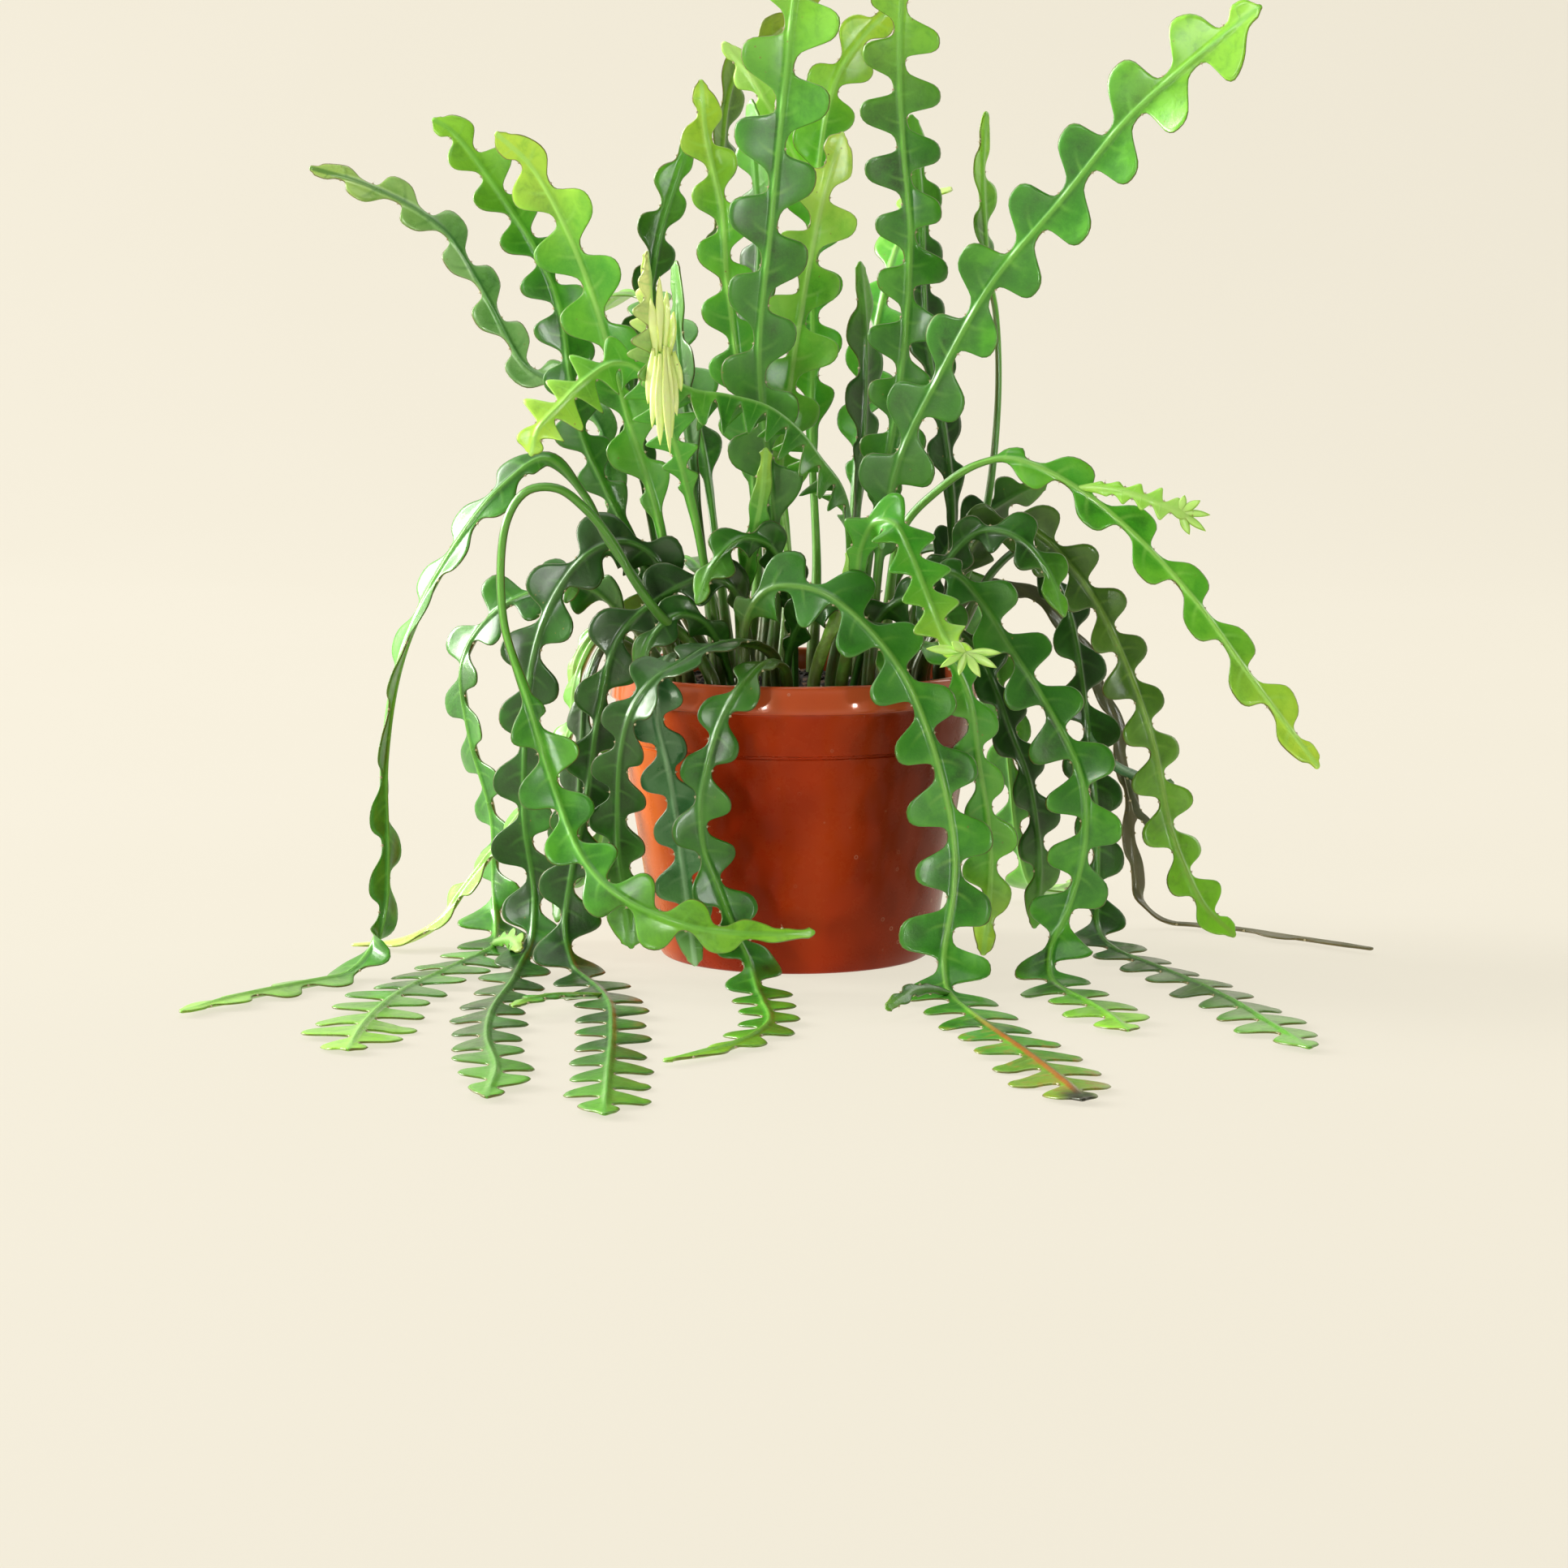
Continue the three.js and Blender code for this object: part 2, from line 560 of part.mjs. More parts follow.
// Where each lobe of one edge starts, and its length. The second edge starts
// half a period later, so its lobes stand opposite the notches of the first.
function lobeSpans(start, period, count, shifted) {
  const spans = [];
  if (!shifted) {
    for (let lobe = 0; lobe < count; lobe += 1) {
      spans.push([start + lobe * period, period]);
    }
    return spans;
  }
  spans.push([start, period / 2]);
  for (let lobe = 0; lobe < count - 1; lobe += 1) {
    spans.push([start + (lobe + 0.5) * period, period]);
  }
  spans.push([start + (count - 0.5) * period, period / 2]);
  return spans;
}

// The same lobe with its square flank towards the foot of the stem.
function turnedLobe(lobe) {
  const raised = lobe.slice(1).map(([share, rise]) => [1 - share, rise]);
  return [lobe[0], ...raised.reverse()];
}

function stemEdge(stem, seed, start, length, period, count, shifted, flipped) {
  const edge = [];
  const plain = stem.spaced || stem.half[1] > NARROW_HALF ? BROAD_LOBE : NARROW_LOBE;
  const usual = stem.comb ? COMB_TOOTH : plain;
  const lobe = flipped ? turnedLobe(usual) : usual;
  for (const [from, span] of lobeSpans(start, period, count, shifted)) {
    seed += 1;
    const height = 0.86 + 0.24 * chance(seed);
    for (const [share, rise] of lobe) {
      const distance = from + share * span;
      const along = (distance - start) / (length - start);
      const half = mix(stem.half[0], stem.half[1], along);
      const opening = mix(0.45, 1, ease((distance - start) / WING_RAMP));
      const nearTip = mix(0.4, 1, ease((length - distance) / (1.3 * period)));
      const closing = nearTip * (stem.tail ? mix(0.3, 1, ease((length - distance) / stem.tail)) : 1);
      const floor = stem.notch * half;
      const full = floor + (half * height * opening * closing - floor) * rise;
      const shrink = span < period ? 0.8 : 1;
      edge.push([distance, Math.max(full * shrink, TIP_WIDTH)]);
    }
  }
  edge.push([length, TIP_WIDTH]);
  return edge;
}

function buildStem(stem, number) {
  const { length, frameAt } = stemLine(stem);
  const start = stem.bare;
  const count = Math.max(2, Math.round((length - start) / stem.period));
  const period = (length - start) / count;

  const rib = [];
  const bareStep = start < SHORT_BARE ? SHORT_STEP : LONG_STEP;
  const bareSteps = Math.max(1, Math.round(start / bareStep));
  for (let step = 0; step < bareSteps; step += 1) {
    const near = (start * step) / bareSteps;
    const far = (start * (step + 1)) / bareSteps;
    rib.push(near);
    if (bareStep === LONG_STEP && frameAt(near).along.angleTo(frameAt(far).along) > BARE_TURN) {
      rib.push((near + far) / 2);
    }
  }
  const bareRings = rib.length;
  for (let step = 0; step <= 2 * count; step += 1) {
    rib.push(start + (step * period) / 2);
  }

  const girth = (distance) => mix(ROOT_RADIUS, STALK_RADIUS, ease(distance / STALK_RUN));
  const hexWidth = ROOT_RADIUS * Math.cos(Math.PI / 6);
  const bareEdge = rib.slice(0, bareRings)
    .map((distance) => [distance, girth(distance) * Math.cos(Math.PI / 6)]);
  const edges = [false, true].map((shifted, side) => [
    ...bareEdge,
    ...stemEdge(stem, 100 * number + 50 * side, start, length, period, count, shifted,
      stem.flipped ? stem.flipped[side] : false),
  ]);

  const positions = [];
  const addPoint = (frame, across, out) => {
    const p = frame.point.clone();
    p.addScaledVector(frame.side, across);
    p.addScaledVector(frame.normal, out);
    positions.push(p.x, p.y, p.z);
    return positions.length / 3 - 1;
  };
  const round = (distance) => 1 - ease(distance / Math.max(start, 1));
  const ribHalf = (distance) => {
    const wing = mix(RIB_HALF, TIP_RIB, ease((distance - length + period) / period));
    return mix(wing, girth(distance), round(distance));
  };
  const edgeHalf = (distance) => mix(EDGE_HALF, girth(distance) / 2, round(distance));

  // The frame of one edge, folded back about the rib where the stem hangs.
  const wingFrame = (distance, sign) => {
    const frame = frameAt(distance);
    if (!stem.hang || sign === 0) {
      return frame;
    }
    const fold = THREE.MathUtils.degToRad(stem.hang) * ease((distance - start) / WING_RAMP);
    const across = frame.side.clone().multiplyScalar(Math.cos(fold));
    across.addScaledVector(frame.normal, -sign * Math.sin(fold));
    const out = frame.normal.clone().multiplyScalar(Math.cos(fold));
    out.addScaledVector(frame.side, sign * Math.sin(fold));
    return { ...frame, side: across, normal: out };
  };

  // The foot is a straight hexagonal peg below the first ring.
  const foot = frameAt(0);
  foot.point = foot.point.clone().setZ(SOIL_TOP - ROOT_DEPTH);
  const line = (stations, across, out, sign = 0) => [
    addPoint(foot, across(hexWidth), out(0)),
    ...stations.map(([distance, width]) =>
      addPoint(wingFrame(distance, sign), across(width), out(distance))),
  ];
  const ribStations = rib.map((distance) => [distance, 0]);
  const ribKeys = [-1, ...rib];
  const top = line(ribStations, () => 0, ribHalf);
  const bottom = line(ribStations, () => 0, (distance) => -ribHalf(distance));

  const triangles = [];
  // A strip between two rows of points that run side by side along the stem.
  const strip = (rowA, keysA, rowB, keysB, flip) => {
    let a = 0;
    let b = 0;
    while (a < rowA.length - 1 || b < rowB.length - 1) {
      const nextA = a < rowA.length - 1 ? keysA[a + 1] : Infinity;
      const nextB = b < rowB.length - 1 ? keysB[b + 1] : Infinity;
      const useA = nextA <= nextB;
      const corner = useA ? rowA[a + 1] : rowB[b + 1];
      const face = flip ? [rowA[a], corner, rowB[b]] : [rowA[a], rowB[b], corner];
      triangles.push(...face);
      if (useA) {
        a += 1;
      } else {
        b += 1;
      }
    }
  };
  const rims = edges.map((edge, side) => {
    const sign = side === 0 ? 1 : -1;
    const keys = [-1, ...edge.map(([distance]) => distance)];
    const upper = line(edge, (width) => sign * width, edgeHalf, sign);
    const lower = line(edge, (width) => sign * width, (distance) => -edgeHalf(distance), sign);
    const flip = side === 1;
    strip(top, ribKeys, upper, keys, flip);
    strip(bottom, ribKeys, lower, keys, !flip);
    for (let i = 0; i < keys.length - 1; i += 1) {
      const quad = [upper[i], lower[i], lower[i + 1], upper[i], lower[i + 1], upper[i + 1]];
      triangles.push(...(flip ? quad.reverse() : quad));
    }
    return { upper, lower };
  });
  const cap = (at, flip) => {
    const ring = [top.at(at), rims[0].upper.at(at), rims[0].lower.at(at), bottom.at(at),
      rims[1].lower.at(at), rims[1].upper.at(at)];
    for (let i = 1; i < ring.length - 1; i += 1) {
      triangles.push(...(flip ? [ring[0], ring[i + 1], ring[i]] : [ring[0], ring[i], ring[i + 1]]));
    }
  };
  cap(0, true);
  cap(-1, false);

  const geometry = new THREE.BufferGeometry();
  geometry.setAttribute("position", new THREE.Float32BufferAttribute(positions, 3));
  geometry.setIndex(triangles);
  return geometry;
}

// ----------------------------------------------------------------- assembly
const plastic = { color: 0xa8391c, roughness: 0.32, metalness: 0 };
const earth = { color: 0x231d18, roughness: 0.95, metalness: 0 };
const LEAF_COLOURS = [0x3f8f2f, 0x4f9f38, 0x2f6f22, 0x5e7f2e];

function piece(name, geometry, finish) {
  const mesh = new THREE.Mesh(geometry, new THREE.MeshStandardMaterial(finish));
  mesh.name = name;
  return mesh;
}

const cactus = new THREE.Group();
cactus.add(piece("pot", buildPot(), plastic));
cactus.add(piece("soil", buildSoil(), earth));
STEMS.forEach((stem, number) => {
  const color = LEAF_COLOURS[number % LEAF_COLOURS.length];
  cactus.add(piece(stem.name, buildStem(stem, number), { color, roughness: 0.45, metalness: 0 }));
});

export default cactus;
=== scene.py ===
"""A fishbone cactus in a round terracotta-coloured plastic nursery pot.

Every size is in millimetres until a mesh is made, and angles are in degrees. The frame has its origin at the
centre of the pot's underside, +Z up and -Y towards the viewer.
"""

from __future__ import annotations

import logging
import math
from dataclasses import dataclass, field
from enum import Enum
from typing import Any, Sequence

import bmesh
import bpy
import numpy as np
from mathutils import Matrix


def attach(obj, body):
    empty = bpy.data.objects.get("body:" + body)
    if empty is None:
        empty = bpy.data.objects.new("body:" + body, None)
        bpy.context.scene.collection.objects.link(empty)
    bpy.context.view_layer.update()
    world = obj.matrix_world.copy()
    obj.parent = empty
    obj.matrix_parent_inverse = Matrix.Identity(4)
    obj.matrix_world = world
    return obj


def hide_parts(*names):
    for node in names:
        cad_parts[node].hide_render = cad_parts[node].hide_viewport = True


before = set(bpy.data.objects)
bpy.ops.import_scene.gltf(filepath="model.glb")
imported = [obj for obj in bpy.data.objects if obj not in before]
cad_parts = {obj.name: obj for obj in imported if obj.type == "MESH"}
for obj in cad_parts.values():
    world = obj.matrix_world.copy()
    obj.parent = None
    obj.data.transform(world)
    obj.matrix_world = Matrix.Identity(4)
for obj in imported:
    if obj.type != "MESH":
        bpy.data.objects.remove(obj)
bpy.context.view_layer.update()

MM = 0.001
TINY = 1e-6
UP = np.array([0.0, 0.0, 1.0])
Triple = tuple[np.ndarray, np.ndarray, np.ndarray]
SEED = 1721
FIRST_SHOOT = 200
CHANCE_STEP, CHANCE_SCALE = 12.9898, 43758.5453

logging.basicConfig(level=logging.INFO, format="%(message)s")
log = logging.getLogger("fishbone_cactus")


# ------------------------------------------------------------------- maths
def ease(value: Any) -> Any:
    """Smooth step from 0 to 1."""
    x = np.clip(value, 0.0, 1.0)
    return x * x * (3.0 - 2.0 * x)


def mix(start: Any, end: Any, share: Any) -> Any:
    """The value that lies share of the way from start to end."""
    return start + (end - start) * share


def chance(seed: float) -> float:
    """A fixed number between 0 and 1 for each stem and lobe."""
    wave = math.sin(seed * CHANCE_STEP) * CHANCE_SCALE
    return wave - math.floor(wave)


def unit(vectors: np.ndarray) -> np.ndarray:
    """The same directions at length 1."""
    return vectors / np.maximum(np.linalg.norm(vectors, axis=-1, keepdims=True), 1e-9)


def catmull_rom(points: np.ndarray, samples: int) -> tuple[np.ndarray, np.ndarray]:
    """A smooth centripetal curve through points.

    Args:
        points: The points that the curve passes through, one a row.
        samples: How many steps each stretch between two points has.

    Returns:
        The curve's points and its directions, one a row.
    """
    ends = np.vstack([2 * points[0] - points[1], points, 2 * points[-1] - points[-2]])
    share = np.linspace(0.0, 1.0, samples, endpoint=False)[:, None]
    places, ways = [], []
    for k in range(1, len(ends) - 2):
        p0, p1, p2, p3 = ends[k - 1 : k + 3]
        pairs = ((p0, p1), (p1, p2), (p2, p3))
        d0, d1, d2 = (max(float(np.linalg.norm(b - a)), TINY) ** 0.5 for a, b in pairs)
        m1 = ((p1 - p0) / d0 - (p2 - p0) / (d0 + d1) + (p2 - p1) / d1) * d1
        m2 = ((p2 - p1) / d1 - (p3 - p1) / (d1 + d2) + (p3 - p2) / d2) * d1
        c2 = 3 * (p2 - p1) - 2 * m1 - m2
        c3 = 2 * (p1 - p2) + m1 + m2
        step = share if k < len(ends) - 3 else np.vstack([share, [[1.0]]])
        places.append(p1 + m1 * step + c2 * step**2 + c3 * step**3)
        ways.append(m1 + 2 * c2 * step + 3 * c3 * step**2)
    return np.vstack(places), np.vstack(ways)


# --------------------------------------------------------------- mesh tools
def mesh_piece(
    name: str,
    points: np.ndarray,
    faces: Sequence[Sequence[int]],
    material: bpy.types.Material,
    extras: dict[str, np.ndarray] | None = None,
    smooth: bool = True,
) -> bpy.types.Object:
    """Makes a mesh object from points in millimetres.

    Args:
        name: The piece's name.
        points: One point a row, in millimetres.
        faces: Point numbers of each face, turning left seen from outside.
        material: The finish of the whole piece.
        extras: Named vectors, three numbers for each point, that the finish reads.
        smooth: Whether the faces are shaded smooth.

    Returns:
        The new object.
    """
    mesh = bpy.data.meshes.new(name)
    mesh.from_pydata((np.asarray(points) * MM).tolist(), [], [list(face) for face in faces])
    for label, values in (extras or {}).items():
        layer = mesh.attributes.new(label, "FLOAT_VECTOR", "POINT")
        layer.data.foreach_set("vector", np.asarray(values, np.float32).ravel())
    mesh.polygons.foreach_set("use_smooth", [smooth] * len(mesh.polygons))
    mesh.materials.append(material)
    mesh.update()
    piece = bpy.data.objects.new(name, mesh)
    bpy.context.scene.collection.objects.link(piece)
    return piece


def ring_faces(rows: int, ring: int) -> list[tuple[int, ...]]:
    """Quads between rows of closed rings, with a cap at both ends.

    Args:
        rows: How many rings there are.
        ring: How many points each ring has.

    Returns:
        The faces, as point numbers.
    """
    faces: list[tuple[int, ...]] = []
    for i in range(rows - 1):
        a, b = i * ring, (i + 1) * ring
        faces += [(a + j, a + (j + 1) % ring, b + (j + 1) % ring, b + j) for j in range(ring)]
    faces.append(tuple(range(ring - 1, -1, -1)))
    faces.append(tuple((rows - 1) * ring + j for j in range(ring)))
    return faces


# ------------------------------------------------------------ finish tools
def colour(code: str) -> tuple[float, float, float, float]:
    """A screen colour such as "3F8F2F" as linear red, green, blue and alpha.

    Args:
        code: Red, green and blue as six hexadecimal digits.

    Returns:
        The four parts, between 0 and 1.
    """
    parts = [int(code[i : i + 2], 16) / 255 for i in (0, 2, 4)]
    red, green, blue = (c / 12.92 if c <= 0.04045 else ((c + 0.055) / 1.055) ** 2.4 for c in parts)
    return red, green, blue, 1.0


class Graph:
    """The node tree of one material, built call by call."""

    def __init__(self, name: str) -> None:
        """Starts an empty material of that name.

        Args:
            name: The material's name.
        """
        self.material = bpy.data.materials.new(name)
        self.material.use_nodes = True
        self.tree = self.material.node_tree
        self.tree.nodes.clear()
        self.place = self.node("ShaderNodeTexCoord", out="Object")

    def node(self, kind: str, out: str | int | None = 0, inputs: dict | None = None, **settings: Any) -> Any:
        """Adds one node.

        Args:
            kind: Blender's name of the node type.
            out: The output that is handed back, or None for the node itself.
            inputs: Values or sockets for its inputs, by name or number.
            settings: The node's own settings.

        Returns:
            The chosen output socket, or the node.
        """
        node = self.tree.nodes.new(kind)
        for key, value in settings.items():
            setattr(node, key, value)
        for key, value in (inputs or {}).items():
            if isinstance(value, bpy.types.NodeSocket):
                self.tree.links.new(value, node.inputs[key])
            else:
                node.inputs[key].default_value = value
        return node if out is None else node.outputs[out]

    def extra(self, label: str) -> tuple[Any, Any, Any]:
        """The three parts of a named vector of the mesh.

        Args:
            label: The vector's name.

        Returns:
            Sockets of its three parts.
        """
        vector = self.node("ShaderNodeAttribute", "Vector", attribute_name=label)
        parts = self.node("ShaderNodeSeparateXYZ", None, {0: vector})
        return parts.outputs[0], parts.outputs[1], parts.outputs[2]

    def math(self, kind: str, a: Any, b: Any = 0.0) -> Any:
        """One sum of two values, such as MULTIPLY."""
        return self.node("ShaderNodeMath", 0, {0: a, 1: b}, operation=kind)

    def span(self, value: Any, low: float, high: float, start: float = 0.0, end: float = 1.0) -> Any:
        """Maps low..high smoothly to start..end and holds it there outside."""
        numbers = {0: value, 1: low, 2: high, 3: start, 4: end}
        return self.node("ShaderNodeMapRange", 0, numbers, interpolation_type="SMOOTHSTEP")

    def noise(
        self, scale: float, detail: float = 2.0, rough: float = 0.5, at: Any = None, warp: float = 0.0
    ) -> Any:
        """Soft noise between 0 and 1, about 1/scale metres from bump to bump."""
        numbers = {"Scale": scale, "Detail": detail, "Roughness": rough, "Distortion": warp}
        return self.node("ShaderNodeTexNoise", 0, {"Vector": at or self.place, **numbers})

    def cells(self, scale: float) -> Any:
        """The distance to the middle of the nearest cell, where cells are about 1/scale metres across."""
        return self.node("ShaderNodeTexVoronoi", "Distance", {"Vector": self.place, "Scale": scale})

    def stretched(self, scale: tuple[float, float, float]) -> Any:
        """The place on the object, scaled by a different amount each way."""
        return self.node("ShaderNodeMapping", 0, {"Vector": self.place, "Scale": scale})

    def blend(self, share: Any, first: Any, second: Any, kind: str = "MIX") -> Any:
        """Mixes two colours by share."""
        settings = {"data_type": "RGBA", "blend_type": kind, "clamp_factor": True}
        return self.node("ShaderNodeMix", 2, {0: share, 6: first, 7: second}, **settings)

    def times(self, *values: Any) -> Any:
        """The product of two or more values.

        Args:
            values: Numbers or sockets.

        Returns:
            The socket of the product.
        """
        product = values[0]
        for value in values[1:]:
            product = self.math("MULTIPLY", product, value)
        return product

    def bump(self, height: Any, depth_mm: float, strength: float = 1.0, under: Any = None) -> Any:
        """Low relief from a height between 0 and 1.

        Args:
            height: The socket of the height.
            depth_mm: The depth that a height of 1 stands for.
            strength: How strong the relief is.
            under: Relief that this one lies on, if any.

        Returns:
            The socket of the bent normal.
        """
        inputs = {"Height": height, "Distance": depth_mm * MM, "Strength": strength}
        if under is not None:
            inputs["Normal"] = under
        return self.node("ShaderNodeBump", 0, inputs)

    def finish(self, **sockets: Any) -> bpy.types.Material:
        """Ends the tree in a Principled shader.

        Args:
            sockets: Values or sockets of the shader, with _ for the spaces in a name.

        Returns:
            The finished material.
        """
        inputs = {key.replace("_", " "): value for key, value in sockets.items()}
        shader = self.node("ShaderNodeBsdfPrincipled", "BSDF", inputs)
        self.node("ShaderNodeOutputMaterial", None, {"Surface": shader})
        return self.material


# ---------------------------------------------------------------- finishes
@dataclass(frozen=True)
class LeafFinish:
    """The skin of a flat stem, from its woody base to its young tip.

    shade, body and light are the dark, the middle and the light green, and young_from and rust_from are the
    shares of the length from which the tip colour and the rust begin. The lengths in mm are measured from the
    root. depth and tint set how deep and how warm the whole skin is.
    """

    name: str
    shade: str
    body: str
    light: str
    rib: str
    tip: str
    margin: str = "6B5A2A"
    young_from: float = 0.72
    rust_from: float = 2.0
    soft: float = 0.0
    rough: float = 0.4
    wood: str = "5C5426"
    wet: str = "26300F"
    speck: str = "8C7A3E"
    blotch: str = "93812E"
    rust: str = "9A4A1C"
    dead: str = "1E150D"
    # How far from the root the painted shade of the crowded middle reaches.
    base_shade_mm: float = 230.0
    woody_mm: float = 62.0
    damp_mm: float = 46.0
    depth: float = 1.14
    tint: tuple[float, float, float, float] = (1.13, 1.15, 0.96, 1.0)

    def make(self) -> bpy.types.Material:
        """Builds the material.

        Returns:
            The finished material.
        """
        g = Graph(self.name)
        rib_mm, edge_mm, phase = g.extra("leaf_mm")
        age, luck, root_mm = g.extra("leaf_way")
        broad = g.noise(38.0, 3.0, 0.55)
        patch = g.noise(150.0, 3.0, 0.6, warp=0.4)
        grain = g.noise(1100.0, 2.0, 0.6)
        tone = g.math("ADD", g.times(broad, 0.95), g.times(patch, 0.45))
        tone = g.math("ADD", tone, g.times(luck, 0.34))
        skin = g.blend(g.span(tone, 0.5, 0.86), colour(self.shade), colour(self.body))
        skin = g.blend(g.span(tone, 0.82, 1.22), skin, colour(self.light))
        skin = g.blend(g.span(grain, 0.3, 0.8, 0.0, 0.16), skin, colour(self.light))
        # Painted light: each lobe is lighter towards its margin, standing in for the light and sheen on its
        # curled edge.
        rise = g.times(g.span(edge_mm, 0.0, 9.0, 0.42, 0.0), g.span(broad, 0.3, 0.7, 0.35, 1.0))
        skin = g.blend(rise, skin, colour(self.light))
        young = g.times(g.span(age, self.young_from, 1.02), g.span(patch, 0.2, 0.6, 0.55, 1.0))
        skin = g.blend(young, skin, colour(self.tip))
        vein = g.math("ABSOLUTE", g.math("SUBTRACT", phase, g.span(rib_mm, 0.0, 16.0, 0.42, 0.6)))
        vein = g.times(g.span(vein, 0.0, 0.05, 1.0, 0.0), g.span(rib_mm, 1.0, 12.0, 0.34, 0.0))
        skin = g.blend(vein, skin, colour(self.rib))
        rib = g.span(g.math("ADD", rib_mm, g.times(grain, 0.5)), 0.8, 1.9, 0.68, 0.0)
        skin = g.blend(rib, skin, colour(self.rib))
        edge = g.times(g.span(edge_mm, 0.15, 0.75, 1.0, 0.0), g.span(broad, 0.36, 0.6, 0.25, 0.9))
        skin = g.blend(edge, skin, colour(self.margin))
        # Painted shade: the skin darkens towards the root, standing in for the shade among the crowded stems
        # in the middle of the plant.
        old = g.times(g.span(root_mm, 60.0, self.base_shade_mm, 0.62, 0.0), g.span(broad, 0.3, 0.65, 0.6, 1.0))
        skin = g.blend(old, skin, colour(self.shade))
        woody = g.times(g.span(root_mm, 14.0, self.woody_mm, 0.7, 0.0), g.span(patch, 0.3, 0.62, 0.3, 1.0))
        skin = g.blend(woody, skin, colour(self.wood))
        damp = g.span(root_mm, 0.0, self.damp_mm, 0.55, 0.0)
        skin = g.blend(damp, skin, colour(self.wet))
        specks = g.times(g.span(g.cells(240.0), 0.05, 0.14, 1.0, 0.0), g.span(broad, 0.56, 0.66, 0.0, 0.75))
        skin = g.blend(specks, skin, colour(self.speck))
        skin = g.node("ShaderNodeGamma", 0, {0: skin, 1: self.depth})
        skin = g.blend(1.0, skin, self.tint, "MULTIPLY")
        if self.rust_from < 1.0:
            skin = self._rusted(g, skin, rib_mm, age, patch)
        wear = g.span(g.noise(90.0, 4.0, 0.65), 0.3, 0.75, self.rough - 0.07, self.rough + 0.14)
        relief = g.bump(g.noise(520.0, 3.0, 0.6), 0.25, 0.35)
        relief = g.bump(patch, 0.9, 0.3, relief)
        relief = g.bump(vein, 0.5, 0.5, relief)
        return g.finish(
            Base_Color=skin,
            Roughness=wear,
            Normal=relief,
            Subsurface_Weight=self.soft,
            Subsurface_Radius=(0.6, 1.0, 0.25),
            Subsurface_Scale=0.0035,
            Specular_IOR_Level=0.52,
            Specular_Tint=(0.84, 1.0, 0.62, 1.0),
            Coat_Weight=0.55,
            Coat_Roughness=0.2,
        )

    def _rusted(self, g: Graph, skin: Any, rib_mm: Any, age: Any, patch: Any) -> Any:
        """Adds the rusty rib, the brown blotches and the black dead tip of an old stem.

        Args:
            g: The material's node tree.
            skin: The colour so far.
            rib_mm: The distance from the rib.
            age: The share of the length.
            patch: The noise of the blotches.

        Returns:
            The new colour.
        """
        old = g.span(age, self.rust_from, self.rust_from + 0.14)
        blotch = g.times(old, g.span(patch, 0.5, 0.66, 0.0, 0.8))
        skin = g.blend(blotch, skin, colour(self.blotch))
        rust = g.times(old, g.span(rib_mm, 0.9, 2.2, 1.0, 0.0), 0.9)
        skin = g.blend(rust, skin, colour(self.rust))
        dead = g.times(g.span(age, 0.955, 0.99), g.span(rib_mm, 3.0, 9.0, 1.0, 0.25))
        return g.blend(dead, skin, colour(self.dead))


class Tone(Enum):
    """The colours that the stems come in."""

    DEEP = LeafFinish("leaf_deep_green", "0E2C07", "1D4F11", "3F8626", "66A544", "6FB436")
    MID = LeafFinish("leaf_green", "15460B", "34801D", "64B236", "84C455", "9ED845")
    BRIGHT = LeafFinish("leaf_bright_green", "2A7417", "52AC2C", "88D448", "B4E67C", "CAEA56")
    PALE = LeafFinish("leaf_pale_green", "46902A", "7CC644", "B0E468", "D4F0A4", "DEF080")
    OLIVE = LeafFinish("leaf_olive_green", "263E12", "43691E", "6A902E", "8DAE4E", "A5B03E")
    RIPE = LeafFinish(
        "leaf_olive_to_bright", "263E12", "456E20", "6C9632", "92B854", "8ED03C", young_from=0.5
    )
    BLUISH = LeafFinish("leaf_bluish_green", "245633", "46804F", "80B486", "B8DCB8", "7FB564", rough=0.3)
    SILVER = LeafFinish("leaf_silvery_green", "3A7536", "6AA054", "A0C68C", "3A7430", "A9C46C", rough=0.3)
    RUSTY = LeafFinish("leaf_rusty_green", "1C5212", "3C8A26", "68B43C", "9CD068", "93A83C", rust_from=0.62)
    COMB = LeafFinish("leaf_comb_green", "1E560F", "3F8E26", "74BC44", "98D06C", "EEF3A8", young_from=0.74)
    SHOOT = LeafFinish("leaf_shoot_green", "2C7A18", "52AE30", "88D44C", "A4D86E", "C2E65E", young_from=0.7)
    WOODY = LeafFinish(
        "leaf_grey_woody", "2C3C1C", "435829", "64784A", "746E58", "6E6658", young_from=1.5, rough=0.6
    )
    NEW = LeafFinish(
        "leaf_new_growth", "84C83E", "ACDE58", "CEF280", "E0F8AC", "E4FAB4",
        margin="A4B84A", young_from=0.45, soft=0.3,
    )
    CREAM = LeafFinish(
        "leaf_cream_tassel", "BCDC66", "DCF094", "F2FAB8", "F4FAC8", "F6FCD0",
        margin="D8E080", young_from=0.3, soft=0.3,
    )


_made: dict[Tone, bpy.types.Material] = {}


def leaf_material(tone: Tone) -> bpy.types.Material:
    """The material of a tone, made once.

    Args:
        tone: The tone of a stem.

    Returns:
        Its material.
    """
    if tone not in _made:
        _made[tone] = tone.value.make()
    return _made[tone]


